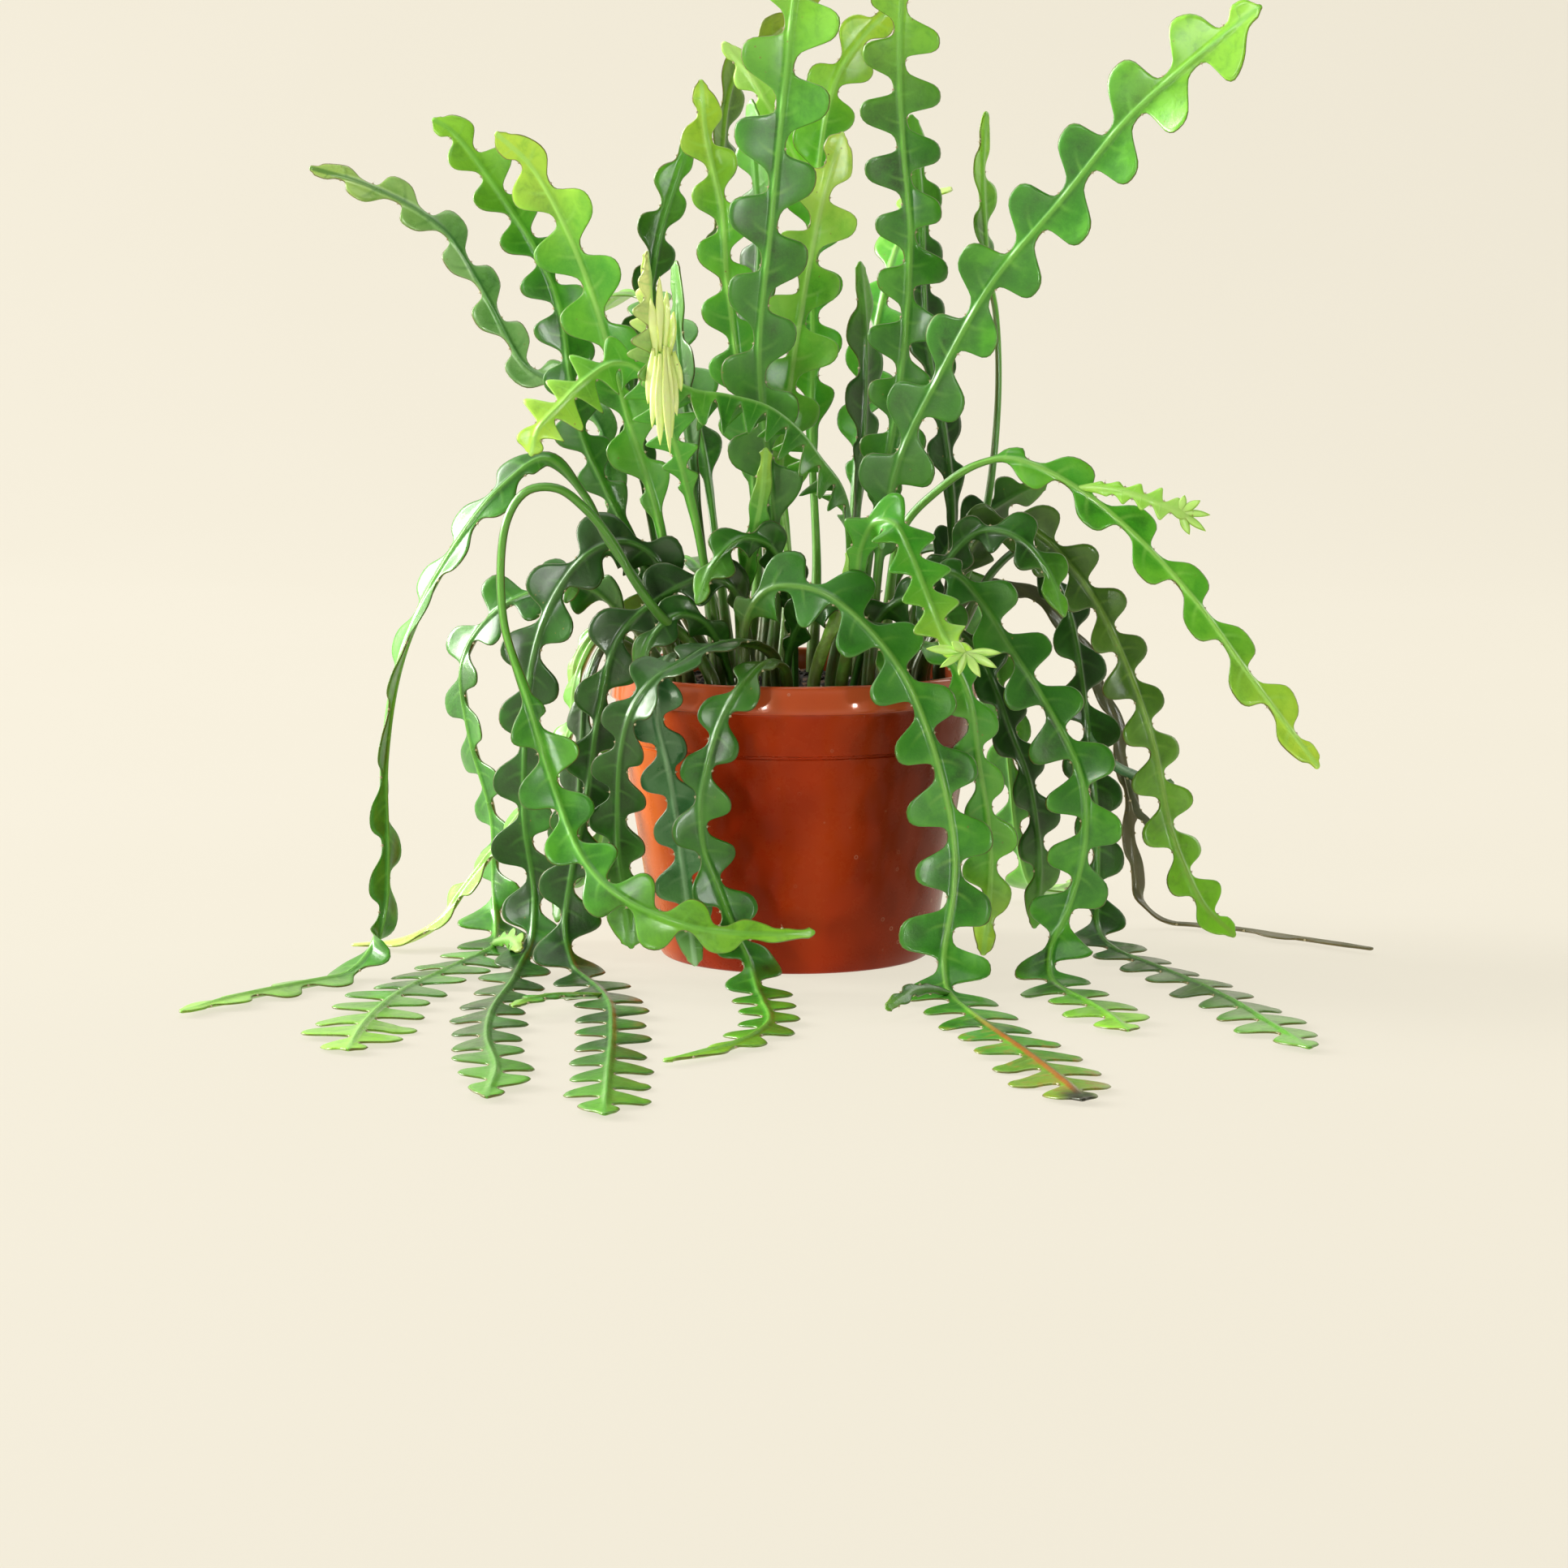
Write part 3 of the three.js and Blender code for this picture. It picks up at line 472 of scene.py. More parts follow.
@dataclass(frozen=True)
class PotFinish:
    """Glossy moulded plastic with faint flow marks, dust and dried water drops, a painted lit orange band on
    its left side and painted shade on its right side.

    The paler colour of the collar, which is painted light, and the gloss of the collar begin between the two
    heights, in metres, of collar_from and gloss_from.
    """

    name: str = "pot_plastic"
    deep: str = "8A2207"
    body: str = "AC330D"
    light: str = "C44B18"
    painted_lit_side: str = "EA741E"
    painted_shade_side: str = "621A06"
    # The collar's paler colour is painted light.
    rim: str = "D2643A"
    dust: str = "C98A68"
    drop: str = "D9B9A0"
    collar_from: tuple[float, float] = (0.1175, 0.1205)
    gloss_from: tuple[float, float] = (0.116, 0.12)

    def make(self) -> bpy.types.Material:
        """Builds the material.

        Returns:
            The finished material.
        """
        g = Graph(self.name)
        cloud = g.noise(16.0, 3.0, 0.5)
        flow = g.noise(26.0, 2.0, 0.5, at=g.stretched((1.0, 1.0, 0.3)))
        grain = g.noise(1500.0, 2.0, 0.5)
        base = g.blend(g.span(cloud, 0.35, 0.7), colour(self.deep), colour(self.body))
        base = g.blend(g.span(flow, 0.45, 0.75, 0.0, 0.35), base, colour(self.light))
        spot = g.node("ShaderNodeSeparateXYZ", None, {0: g.place})
        height = spot.outputs[2]
        side = g.math("ADD", spot.outputs[0], g.times(g.math("SUBTRACT", cloud, 0.5), 0.02))
        # Painted light: the left side of the wall is blended to a bright orange, standing in for the side
        # lamp falling on it.
        base = g.blend(g.span(side, -0.074, -0.046, 0.8, 0.0), base, colour(self.painted_lit_side))
        # Painted shade: the right side of the wall is blended to a dark red-brown, standing in for the shadow
        # of the stems beside it.
        base = g.blend(g.span(side, 0.012, 0.05, 0.0, 0.74), base, colour(self.painted_shade_side))
        # Painted light: the collar is blended to a paler red, standing in for the light it catches.
        base = g.blend(g.span(height, *self.collar_from, 0.0, 0.62), base, colour(self.rim))
        dust = g.times(g.span(g.noise(70.0, 5.0, 0.7), 0.58, 0.8), 0.07)
        base = g.blend(dust, base, colour(self.dust))
        cell = g.cells(120.0)
        drops = g.times(g.span(cell, 0.1, 0.13, 1.0, 0.0), g.span(cell, 0.06, 0.1))
        drops = g.times(drops, g.span(cloud, 0.52, 0.62, 0.0, 0.3))
        base = g.blend(drops, base, colour(self.drop))
        scuff = g.noise(55.0, 6.0, 0.75)
        gloss = g.span(scuff, 0.4, 0.8, 0.26, 0.36)
        gloss = g.math("SUBTRACT", gloss, g.span(height, *self.gloss_from, 0.0, 0.12))
        relief = g.bump(flow, 0.2, 0.06)
        relief = g.bump(grain, 0.05, 0.15, relief)
        return g.finish(
            Base_Color=base,
            Roughness=gloss,
            Normal=relief,
            Coat_Weight=g.span(height, *self.gloss_from, 0.08, 0.7),
            Coat_Roughness=0.07,
            Specular_IOR_Level=0.22,
            Specular_Tint=(1.0, 0.5, 0.26, 1.0),
        )


@dataclass(frozen=True)
class SoilFinish:
    """Damp dark peat compost, or one of the bits that lie in it."""

    name: str
    dark: str
    light: str
    grain_scale: float = 700.0
    rough: float = 0.92
    dust: str = "6A5A47"

    def make(self) -> bpy.types.Material:
        """Builds the material.

        Returns:
            The finished material.
        """
        g = Graph(self.name)
        lumps = g.noise(220.0, 5.0, 0.7)
        grain = g.noise(self.grain_scale, 4.0, 0.7)
        base = g.blend(g.span(lumps, 0.35, 0.7), colour(self.dark), colour(self.light))
        base = g.blend(g.span(grain, 0.62, 0.8, 0.0, 0.4), base, colour(self.dust))
        relief = g.bump(grain, 0.8, 0.7)
        return g.finish(Base_Color=base, Roughness=self.rough, Normal=g.bump(lumps, 1.4, 0.6, relief))


@dataclass(frozen=True)
class FeltFinish:
    """The short pale felt and bristles that stand in the notches of the stems."""

    name: str = "areole_felt"
    dark: str = "8A7A52"
    light: str = "D8CDA4"

    def make(self) -> bpy.types.Material:
        """Builds the material.

        Returns:
            The finished material.
        """
        g = Graph(self.name)
        base = g.blend(g.noise(1800.0, 2.0), colour(self.dark), colour(self.light))
        return g.finish(Base_Color=base, Roughness=0.85, Normal=g.bump(g.noise(2600.0), 0.2, 0.6))


@dataclass(frozen=True)
class StudioFinish:
    """The plain pale paper of the floor and the backdrop, with a faint even glow that keeps it flat."""

    name: str = "studio_paper"
    body: str = "5E5B55"
    warm: str = "5B5850"
    glow: str = "F4EDDA"
    glow_strength: float = 0.808

    def make(self) -> bpy.types.Material:
        """Builds the material.

        Returns:
            The finished material.
        """
        g = Graph(self.name)
        base = g.blend(g.span(g.noise(3.0, 2.0), 0.3, 0.7, 0.0, 0.4), colour(self.body), colour(self.warm))
        return g.finish(
            Base_Color=base,
            Roughness=0.9,
            Specular_IOR_Level=0.1,
            Emission_Color=colour(self.glow),
            Emission_Strength=self.glow_strength,
        )


# -------------------------------------------------------------- stem shapes
# A stem's line rises straight from ROOT_START to ROOT_CLEAR above the soil, and the stem goes on below it as
# a peg. Its stalk slims from ROOT_RADIUS to STALK_RADIUS over STALK_RUN. The line stays FLOOR_REST above the
# floor and the lobes FLOOR_CLEAR, and a stem that lies turns flat between the heights LIE_START and LIE_END.
# The finish of a side shoot starts like that of a stem SHOOT_START from its root.
SOIL_TOP = 122.0
ROOT_START = 2.0
ROOT_CLEAR = 7.0
ROOT_RADIUS = 3.0
STALK_RADIUS = 2.1
STALK_RUN = 70.0
RIB_HALF = 1.9
TIP_RIB = 0.8
TIP_WIDTH = 1.6
FLOOR_REST = 2.7
FLOOR_CLEAR = 0.95
LIE_START = 28.0
LIE_END = 8.0
WING_RAMP = 30.0
FACE_LIFT = 0.2
NARROW_HALF = 18.2
PEG = 8.0
SHOOT_START = 60.0
BARE_STEP = 2.5
LOBE_ROWS = 18
SIDE_POINTS = 6


@dataclass(frozen=True)
class StemPlan:
    """The shape of one stem.

    half and face go from the stem's foot to its tip, and lean from its right edge to its left one. A lean of
    1 sets the steep side of the lobes towards the tip, and -1 towards the foot. period is a lobe's length,
    notch the share of the width that is left between two lobes, and bare the length of the stalk. A comb stem
    has narrow pointed teeth, spaced lobes have a flat bay between them, hang is the angle that both edges
    fold back from the flat side, and tail is the length over which a stem thins to its tip. A stem stands in
    the soil at root, or grows out of another one at foot.
    """

    name: str
    tone: Tone
    half: tuple[float, float]
    period: float
    notch: float
    bare: float
    face: tuple[float, float]
    route: tuple[tuple[float, float, float], ...]
    root: tuple[float, float] = (0.0, 0.0)
    drapes: bool = False
    lies: bool = False
    lean: tuple[float, float] = (1.0, 1.0)
    comb: bool = False
    spaced: bool = False
    hang: float = 0.0
    tail: float = 0.0
    foot: tuple[float, float, float] | None = None
    girth: float = ROOT_RADIUS

    def points(self) -> np.ndarray:
        """The points that the middle line passes through.

        Returns:
            The points, one a row.
        """
        if self.foot is not None:
            return np.array([self.foot, *self.route], float)
        x, y = self.root
        return np.array([(x, y, SOIL_TOP + ROOT_START), (x, y, SOIL_TOP + ROOT_CLEAR), *self.route], float)


class MiddleLine:
    """The middle line of a stem, with the direction of its flat side along it."""

    def __init__(self, plan: StemPlan) -> None:
        """Measures the plan's curve.

        Args:
            plan: The stem's shape.
        """
        self.plan = plan
        self.places, self.ways = catmull_rom(plan.points(), 60)
        steps = np.linalg.norm(np.diff(self.places, axis=0), axis=1)
        self.travel = np.concatenate([[0.0], np.cumsum(steps)])
        self.length = float(self.travel[-1])

    def frames(self, distance: np.ndarray) -> Triple:
        """The line at some distances from the foot.

        Args:
            distance: Distances along the line.

        Returns:
            Points, directions out of the flat side, and directions across, one a row.
        """
        plan = self.plan
        inside = np.clip(distance, 0.0, self.length)
        point = np.stack([np.interp(inside, self.travel, self.places[:, k]) for k in range(3)], 1)
        along = unit(np.stack([np.interp(inside, self.travel, self.ways[:, k]) for k in range(3)], 1))
        if plan.foot is None:
            along[distance <= 0] = UP
        point[:, 2] = np.maximum(point[:, 2], FLOOR_REST)
        height = point[:, 2].copy()
        point += along * (distance - inside)[:, None]
        compass = np.radians(mix(plan.face[0], plan.face[1], inside / self.length))
        look = np.stack([np.sin(compass), -np.cos(compass), np.full_like(compass, FACE_LIFT)], 1)
        if plan.drapes:
            look[:, 2] = 0.0
            look = look * -along[:, 2:3] + UP
        if plan.lies:
            look = mix(look, UP, ease((LIE_START - height) / (LIE_START - LIE_END))[:, None])
        normal = unit(look - along * np.sum(look * along, 1, keepdims=True))
        return point, normal, np.cross(along, normal)


class LobeOutline:
    """The outline of one lobe, as shares of its length and of its height."""

    TURN_COST = 0.12

    def __init__(self, knots: Sequence[tuple[float, float]], aspect: float) -> None:
        """Spaces points evenly along the outline, closer where it turns.

        Args:
            knots: Share of the length and of the height, from one notch up to the next.
            aspect: The lobe's height over its length.
        """
        line = np.array(knots, float)
        around = np.vstack([line - (1, 0), line, line + (1, 0), line[:1] + (2, 0)])
        path, way = catmull_rom(around * (1.0, aspect), 40)
        turn = np.abs(np.diff(np.unwrap(np.arctan2(way[:, 1], way[:, 0]))))
        steps = np.linalg.norm(np.diff(path, axis=0), axis=1) + self.TURN_COST * turn
        cost = np.concatenate([[0.0], np.cumsum(steps)])
        kept = (path[:, 0] >= -1e-9) & (path[:, 0] <= 1 + 1e-9)
        self.share = np.maximum.accumulate(np.clip(path[kept, 0], 0, 1))
        self.rise = np.clip(path[kept, 1] / aspect, 0, 1)
        cost = cost[kept]
        self.phase = (cost - cost[0]) / (cost[-1] - cost[0])

    def at(self, phase: np.ndarray, lean: float) -> tuple[np.ndarray, np.ndarray]:
        """The outline at some phases between 0 and 1.

        Args:
            phase: How far along the outline, from notch to notch.
            lean: 1 for the steep side at the far end, -1 for the near end, 0 for an even lobe.

        Returns:
            Shares of the length and of the height.
        """
        keep = (1 + lean) / 2
        share = np.interp(phase, self.phase, self.share)
        rise = np.interp(phase, self.phase, self.rise)
        back = 1 - np.interp(1 - phase, self.phase, self.share)
        drop = np.interp(1 - phase, self.phase, self.rise)
        return mix(back, share, keep), mix(drop, rise, keep)


BROAD_LOBE = LobeOutline(
    [
        (0, 0), (0.07, 0.0), (0.15, 0.03), (0.23, 0.12), (0.31, 0.36), (0.39, 0.65), (0.47, 0.87),
        (0.57, 0.98), (0.67, 1.0), (0.77, 0.96), (0.845, 0.8), (0.88, 0.52), (0.905, 0.24), (0.94, 0.06),
    ],
    0.62,
)
NARROW_LOBE = LobeOutline(
    [
        (0, 0), (0.06, 0.01), (0.13, 0.07), (0.21, 0.26), (0.3, 0.56), (0.39, 0.82), (0.49, 0.96), (0.6, 1.0),
        (0.7, 0.95), (0.78, 0.78), (0.83, 0.52), (0.87, 0.25), (0.92, 0.06),
    ],
    0.56,
)
COMB_TOOTH = LobeOutline(
    [
        (0, 0), (0.09, 0.04), (0.22, 0.24), (0.36, 0.52), (0.49, 0.79), (0.59, 0.96), (0.66, 1.0),
        (0.72, 0.95), (0.78, 0.7), (0.85, 0.36), (0.93, 0.07),
    ],
    1.3,
)


@dataclass(frozen=True)
class Areole:
    """The bottom of one notch, with the directions out of it and to the front."""

    spot: np.ndarray
    away: np.ndarray
    front: np.ndarray


@dataclass
class Stem:
    """One flat lobed stem with a round foot and a raised rib.

    fold is the rise of both sides towards the margin, and curl and droop are how far a lobe bends, free or on
    the floor, at curl_span from the rib. The first and the last lobes are opening and closing times as wide
    as the others, and lobe_size and lobe_luck are the least height of a lobe and what chance adds. A place
    across is the lesser of a distance and a share of the width: near_steps are counted from the rib, and brim
    and rim from the margin. tip_rings round off the tip, each with its size and its distance ahead.
    """

    plan: StemPlan
    number: int
    fold: float = 0.2
    curl: float = 3.6
    curl_span: float = 16.0
    droop: float = 1.6
    body_half: float = 0.72
    edge_half: float = 0.42
    rib_least: float = 0.45
    rib_share: float = 0.13
    rib_spread: float = 1.15
    wave_span: float = 47.0
    opening: float = 0.45
    closing: float = 0.4
    closing_lobes: float = 1.3
    hang_start: float = 3.0
    tail_end: float = 0.3
    lobe_size: float = 0.86
    lobe_luck: float = 0.24
    lean_luck: float = 0.22
    half_lobe: float = 0.8
    stalk_blend: float = 18.0
    foot_blend: float = 10.0
    near_steps: tuple[tuple[float, float], ...] = ((0.8, 0.16), (1.6, 0.32), (2.6, 0.5))
    brim: tuple[float, float] = (2.4, 0.3)
    rim: tuple[float, float] = (0.6, 0.12)
    tip_rings: tuple[tuple[float, float], ...] = ((0.75, 0.7), (0.3, 1.15))
    felt_clear: float = 0.6
    areoles: list[Areole] = field(default_factory=list)

    def __post_init__(self) -> None:
        """Measures the middle line and the lobes."""
        plan = self.plan
        self.line = MiddleLine(plan)
        self.count = max(2, round((self.line.length - plan.bare) / plan.period))
        self.period = (self.line.length - plan.bare) / self.count

    def _edge(self, side: int) -> dict[str, np.ndarray]:
        """The outline of one edge.

        Args:
            side: 0 for the right edge and 1 for the left one.

        Returns:
            Its reach, width, phase and luck, and the number of its notch rows, along the lobed part.
        """
        plan, start, length = self.plan, self.plan.bare, self.line.length
        shape = BROAD_LOBE if plan.spaced or plan.half[1] > NARROW_HALF else NARROW_LOBE
        shape = COMB_TOOTH if plan.comb else shape
        spans = [(start + k * self.period, 1.0) for k in range(self.count)]
        if side:
            spans = [(start, 0.5), *((a + self.period / 2, 1.0) for a, _ in spans[:-1])]
            spans.append((length - self.period / 2, 0.5))
        seed = 100 * self.number + 50 * side
        parts: dict[str, list[np.ndarray]] = {"reach": [], "width": [], "phase": [], "luck": []}
        notches, row = [], 0
        for lobe, (near, size) in enumerate(spans, 1):
            rows = round(LOBE_ROWS * size)
            phase = np.arange(rows) / rows
            lean = plan.lean[side] - self.lean_luck * chance(seed + lobe + 0.5)
            share, rise = shape.at(phase, lean)
            reach = near + share * self.period * size
            full = mix(plan.half[0], plan.half[1], (reach - start) / (length - start))
            opening = mix(self.opening, 1.0, ease((reach - start) / WING_RAMP))
            closing = mix(self.closing, 1.0, ease((length - reach) / (self.closing_lobes * self.period)))
            if plan.tail:
                closing = closing * mix(self.tail_end, 1.0, ease((length - reach) / plan.tail))
            height = self.lobe_size + self.lobe_luck * chance(seed + lobe)
            floor = plan.notch * full
            width = floor + (full * height * opening * closing - floor) * rise
            if size < 1.0:
                width = width * mix(1.0, self.half_lobe, rise)
            parts["reach"].append(reach)
            parts["width"].append(np.maximum(width, TIP_WIDTH))
            parts["phase"].append(phase)
            parts["luck"].append(np.full(rows, 2 * chance(seed + lobe + 0.25) - 1))
            notches.append(row)
            row += rows
        ends = {"reach": length, "width": TIP_WIDTH, "phase": 0.0, "luck": 0.0}
        edge = {key: np.append(np.concatenate(parts[key]), ends[key]) for key in parts}
        edge["notches"] = np.array(notches[1:])
        return edge

    def build(self) -> bpy.types.Object:
        """Makes the ribbon mesh: rings of points from the foot to the tip.

        Returns:
            The new piece.
        """
        plan, start, length = self.plan, self.plan.bare, self.line.length
        low = -PEG if plan.foot is None else 0.0
        bare = np.linspace(low, start, max(3, round((start - low) / BARE_STEP)), endpoint=False)
        lobed = np.linspace(start, length, self.count * LOBE_ROWS + 1)
        rows = np.concatenate([bare, lobed])
        stalk = self._girth(bare) * math.cos(math.pi / 6)
        edges = []
        for side in (0, 1):
            edge = self._edge(side)
            pad = len(bare)
            notch = np.maximum(edge["width"][0], TIP_WIDTH)
            slim = mix(stalk, notch, ease((bare - start + self.stalk_blend) / self.stalk_blend))
            edge = {
                "reach": np.concatenate([bare, edge["reach"]]),
                "width": np.concatenate([slim, edge["width"]]),
                "phase": np.concatenate([np.zeros(pad), edge["phase"]]),
                "luck": np.concatenate([np.zeros(pad), edge["luck"]]),
                "notches": edge["notches"] + pad,
            }
            edges.append(edge)
        m = SIDE_POINTS
        columns = [(0, j, 1) for j in range(m + 1)]
        columns += [(0, m + 1, 0), *((0, j, -1) for j in range(m, -1, -1))]
        columns += [(1, j, -1) for j in range(1, m + 1)]
        columns += [(1, m + 1, 0), *((1, j, 1) for j in range(m, 0, -1))]
        lines = [self._column(rows, edges[side], side, j, face) for side, j, face in columns]
        points, marks, ways = (np.stack(block, 1) for block in zip(*lines))
        points, marks, ways = self._rounded_tip(points, marks, ways)
        self._find_areoles(points, edges)
        extras = {"leaf_mm": marks.reshape(-1, 3), "leaf_way": ways.reshape(-1, 3)}
        faces = ring_faces(len(points), len(columns))
        material = leaf_material(plan.tone)
        return mesh_piece(f"{plan.name}_blade", points.reshape(-1, 3), faces, material, extras)

    def _column(
        self, rows: np.ndarray, edge: dict[str, np.ndarray], side: int, j: int, face: int
    ) -> Triple:
        """One lengthwise line of points.

        Args:
            rows: Distances of the rings along the rib.
            edge: The outline of the edge on this side.
            side: 0 for the right side and 1 for the left one.
            j: Place across, from 0 at the rib to SIDE_POINTS + 1 at the margin.
            face: 1 for the front, -1 for the back and 0 for the margin.

        Returns:
            The points, and the two vectors for the finish.
        """
        plan, start, length = self.plan, self.plan.bare, self.line.length
        width = edge["width"]
        across = self._across(width, j)
        distance = rows + (edge["reach"] - rows) * across / np.maximum(width, TINY)
        blend = max(start, 1.0) if plan.foot is None else self.foot_blend
        round_share = 1 - ease(distance / blend)
        angle = math.pi / 2 * j / (SIDE_POINTS + 1)
        girth = self._girth(distance)
        thick = self._thick(distance, across, width) if face else np.zeros_like(width)
        out = face * mix(thick, girth * math.cos(angle), round_share)
        flat = mix(across, girth * math.sin(angle), round_share)
        point, normal, aside = self.line.frames(distance)
        sign = 1.0 if side == 0 else -1.0
        hang = math.radians(plan.hang) * ease((distance - start) / WING_RAMP) * ease(across / self.hang_start)
        turned = aside * np.cos(hang)[:, None] - normal * (sign * np.sin(hang))[:, None]
        normal = normal * np.cos(hang)[:, None] + aside * (sign * np.sin(hang))[:, None]
        lift = self.fold * across * (1 - round_share) * (0.4 + 0.6 * self._wave(distance, side))
        lift += self.curl * edge["luck"] * (across / self.curl_span) ** 2
        low = ease((LIE_START - point[:, 2]) / (LIE_START - LIE_END)) if plan.lies else 0.0
        lift = mix(lift, -self.droop * (across / self.curl_span) ** 2 + 0.4 * lift, low)
        middle = point + turned * (sign * flat)[:, None] + normal * lift[:, None]
        clear = np.where(low > 0.02, FLOOR_CLEAR, -np.inf) if plan.lies else FLOOR_CLEAR
        middle[:, 2] = np.maximum(middle[:, 2], clear)
        spot = middle + normal * out[:, None]
        marks = np.stack([across, np.maximum(width - across, 0.0), edge["phase"]], 1)
        ways = np.stack([np.clip(distance / length, 0, 1), 0.5 + 0.5 * edge["luck"], distance], 1)
        if plan.foot is not None:
            ways[:, 2] += SHOOT_START
        return spot, marks, ways

    def _across(self, width: np.ndarray, j: int) -> np.ndarray:
        """How far a lengthwise line lies from the rib, from 0 at the rib to the whole width at the margin.

        Args:
            width: The width of this side at each ring.
            j: The line's place across.

        Returns:
            The distances from the rib.
        """
        near = [np.minimum(limit, share * width) for limit, share in self.near_steps]
        brim, rim = (width - np.minimum(limit, share * width) for limit, share in (self.brim, self.rim))
        return [np.zeros_like(width), *near, mix(near[-1], brim, 0.5), brim, rim, width][j]

    def _thick(self, distance: np.ndarray, across: np.ndarray, width: np.ndarray) -> np.ndarray:
        """Half the thickness of the flat part.

        Args:
            distance: Distances along the stem.
            across: Distances from the rib.
            width: The width of this side.

        Returns:
            The half thicknesses, greatest at the rib and least at the margin.
        """
        half = self.plan.half
        rib = mix(RIB_HALF, TIP_RIB, ease((distance - self.line.length + self.period) / self.period))
        rib = np.minimum(rib, self.rib_least + self.rib_share * mix(half[0], half[1], 0.5))
        body = mix(self.body_half, self.edge_half, (across / np.maximum(width, TINY)) ** 2)
        return body + np.maximum(rib - self.body_half, 0.0) * np.exp(-((across / self.rib_spread) ** 2))

    def _girth(self, distance: np.ndarray) -> np.ndarray:
        """The radius of the round stalk, which slims above the foot."""
        slim = STALK_RADIUS / ROOT_RADIUS if self.plan.foot is None else 1.0
        return self.plan.girth * mix(1.0, slim, ease(distance / STALK_RUN))

    def _wave(self, distance: np.ndarray, side: int) -> np.ndarray:
        """A slow change of the fold along the stem, between -1 and 1."""
        turn = self.number * 1.7 + side * 0.9
        return np.sin(distance / self.wave_span + turn)

    def _rounded_tip(self, *blocks: np.ndarray) -> list[np.ndarray]:
        """Adds the small rings that round off the tip.

        Args:
            blocks: The points and the vectors for the finish, ring by ring.

        Returns:
            The same blocks with the new rings at their end.
        """
        points = blocks[0]
        middle = points[-1].mean(0)
        ahead = unit(middle - points[-3].mean(0))
        rings = [middle + (points[-1] - middle) * size + ahead * reach for size, reach in self.tip_rings]
        rest = [np.concatenate([block, *[block[-1:]] * len(rings)]) for block in blocks[1:]]
        return [np.concatenate([points, np.stack(rings)]), *rest]

    def _find_areoles(self, points: np.ndarray, edges: list[dict[str, np.ndarray]]) -> None:
        """Notes the place, the outward direction and the front direction at each notch.

        Args:
            points: The points, ring by ring.
            edges: The outlines of both edges.
        """
        margin, back = SIDE_POINTS + 1, 2 * SIDE_POINTS + 2
        for edge, column in zip(edges, (margin, margin + back)):
            for row in edge["notches"]:
                spot = points[row, column]
                away = unit(spot - points[row, 0] * 0.5 - points[row, back] * 0.5)
                front = unit(points[row, 0] - points[row, back])
                if spot[2] > self.felt_clear:
                    self.areoles.append(Areole(spot, away, front))

    def dress(self, piece: bpy.types.Object) -> None:
        """Fixes the piece to the plant.

        Args:
            piece: The built piece.
        """
        tone = self.plan.tone
        slot = {Tone.NEW: "new_growth", Tone.WOODY: "aged_stem"}.get(tone, "green_stem")
        if self.plan.foot is None:
            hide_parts(self.plan.name)
            slot = "new_growth" if self.plan.name.startswith("new_shoot") else slot
        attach(piece, "root")


@dataclass
class AreoleTufts:
    """The dots of felt with a few bristles in the notches of every stem.

    A dot goes from top out of its notch to foot inside the stem, through rings that each have a size and a
    distance out of the notch.
    """

    radius: float = 0.75
    top: float = 0.55
    foot: float = 0.7
    flat: float = 0.8
    rings: tuple[tuple[float, float], ...] = ((0.75, 0.3), (1.0, -0.25))
    bristle: float = 2.3
    bristle_half: float = 0.07
    most_bristles: int = 3

    def build(self, areoles: Sequence[Areole]) -> bpy.types.Object:
        """Makes all the tufts as one mesh.

        Args:
            areoles: The notches.

        Returns:
            The new piece.
        """
        random = np.random.default_rng(SEED + 500)
        points: list[np.ndarray] = []
        faces: list[tuple[int, ...]] = []
        for notch in areoles:
            spot, away, front = notch.spot, notch.away, notch.front
            across = np.cross(away, front)
            base = len(points)
            points.append(spot + away * self.top)
            for level, (size, out) in enumerate(self.rings):
                for k in range(6):
                    a = math.pi / 3 * (k + 0.5 * level)
                    round_way = front * math.sin(a) * self.flat + across * math.cos(a)
                    points.append(spot + away * out + round_way * self.radius * size)
            points.append(spot - away * self.foot)
            for k in range(6):
                n = (k + 1) % 6
                faces.append((base, base + 1 + k, base + 1 + n))
                faces.append((base + 1 + k, base + 7 + k, base + 1 + n))
                faces.append((base + 1 + n, base + 7 + k, base + 7 + n))
                faces.append((base + 13, base + 7 + n, base + 7 + k))
            for _ in range(int(random.integers(1, self.most_bristles + 1))):
                self._add_bristle(points, faces, notch, random)
        return mesh_piece("notch_felt", np.array(points), faces, FeltFinish().make())

    def _add_bristle(
        self,
        points: list[np.ndarray],
        faces: list[tuple[int, ...]],
        notch: Areole,
        random: np.random.Generator,
    ) -> None:
        """Adds one thin three-sided bristle.

        Args:
            points: The points so far, which the bristle's points are added to.
            faces: The faces so far, which the bristle's faces are added to.
            notch: Where the bristle stands.
            random: The source of its lean and its length.
        """
        lean, tilt, size = random.uniform(-0.5, 0.5), random.uniform(-0.6, 0.6), random.uniform(0.5, 1.0)
        across = np.cross(notch.away, notch.front)
        way = unit(notch.away + across * lean + notch.front * tilt)
        base = len(points)
        for k in range(3):
            a = 2 * math.pi * k / 3
            points.append(notch.spot + (notch.front * math.sin(a) + across * math.cos(a)) * self.bristle_half)
        points.append(notch.spot + way * self.bristle * size)
        faces.extend((base + k, base + (k + 1) % 3, base + 3) for k in range(3))
        faces.append((base + 2, base + 1, base))

    def dress(self, piece: bpy.types.Object) -> None:
        """Fixes the tufts to the plant."""
        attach(piece, "root")


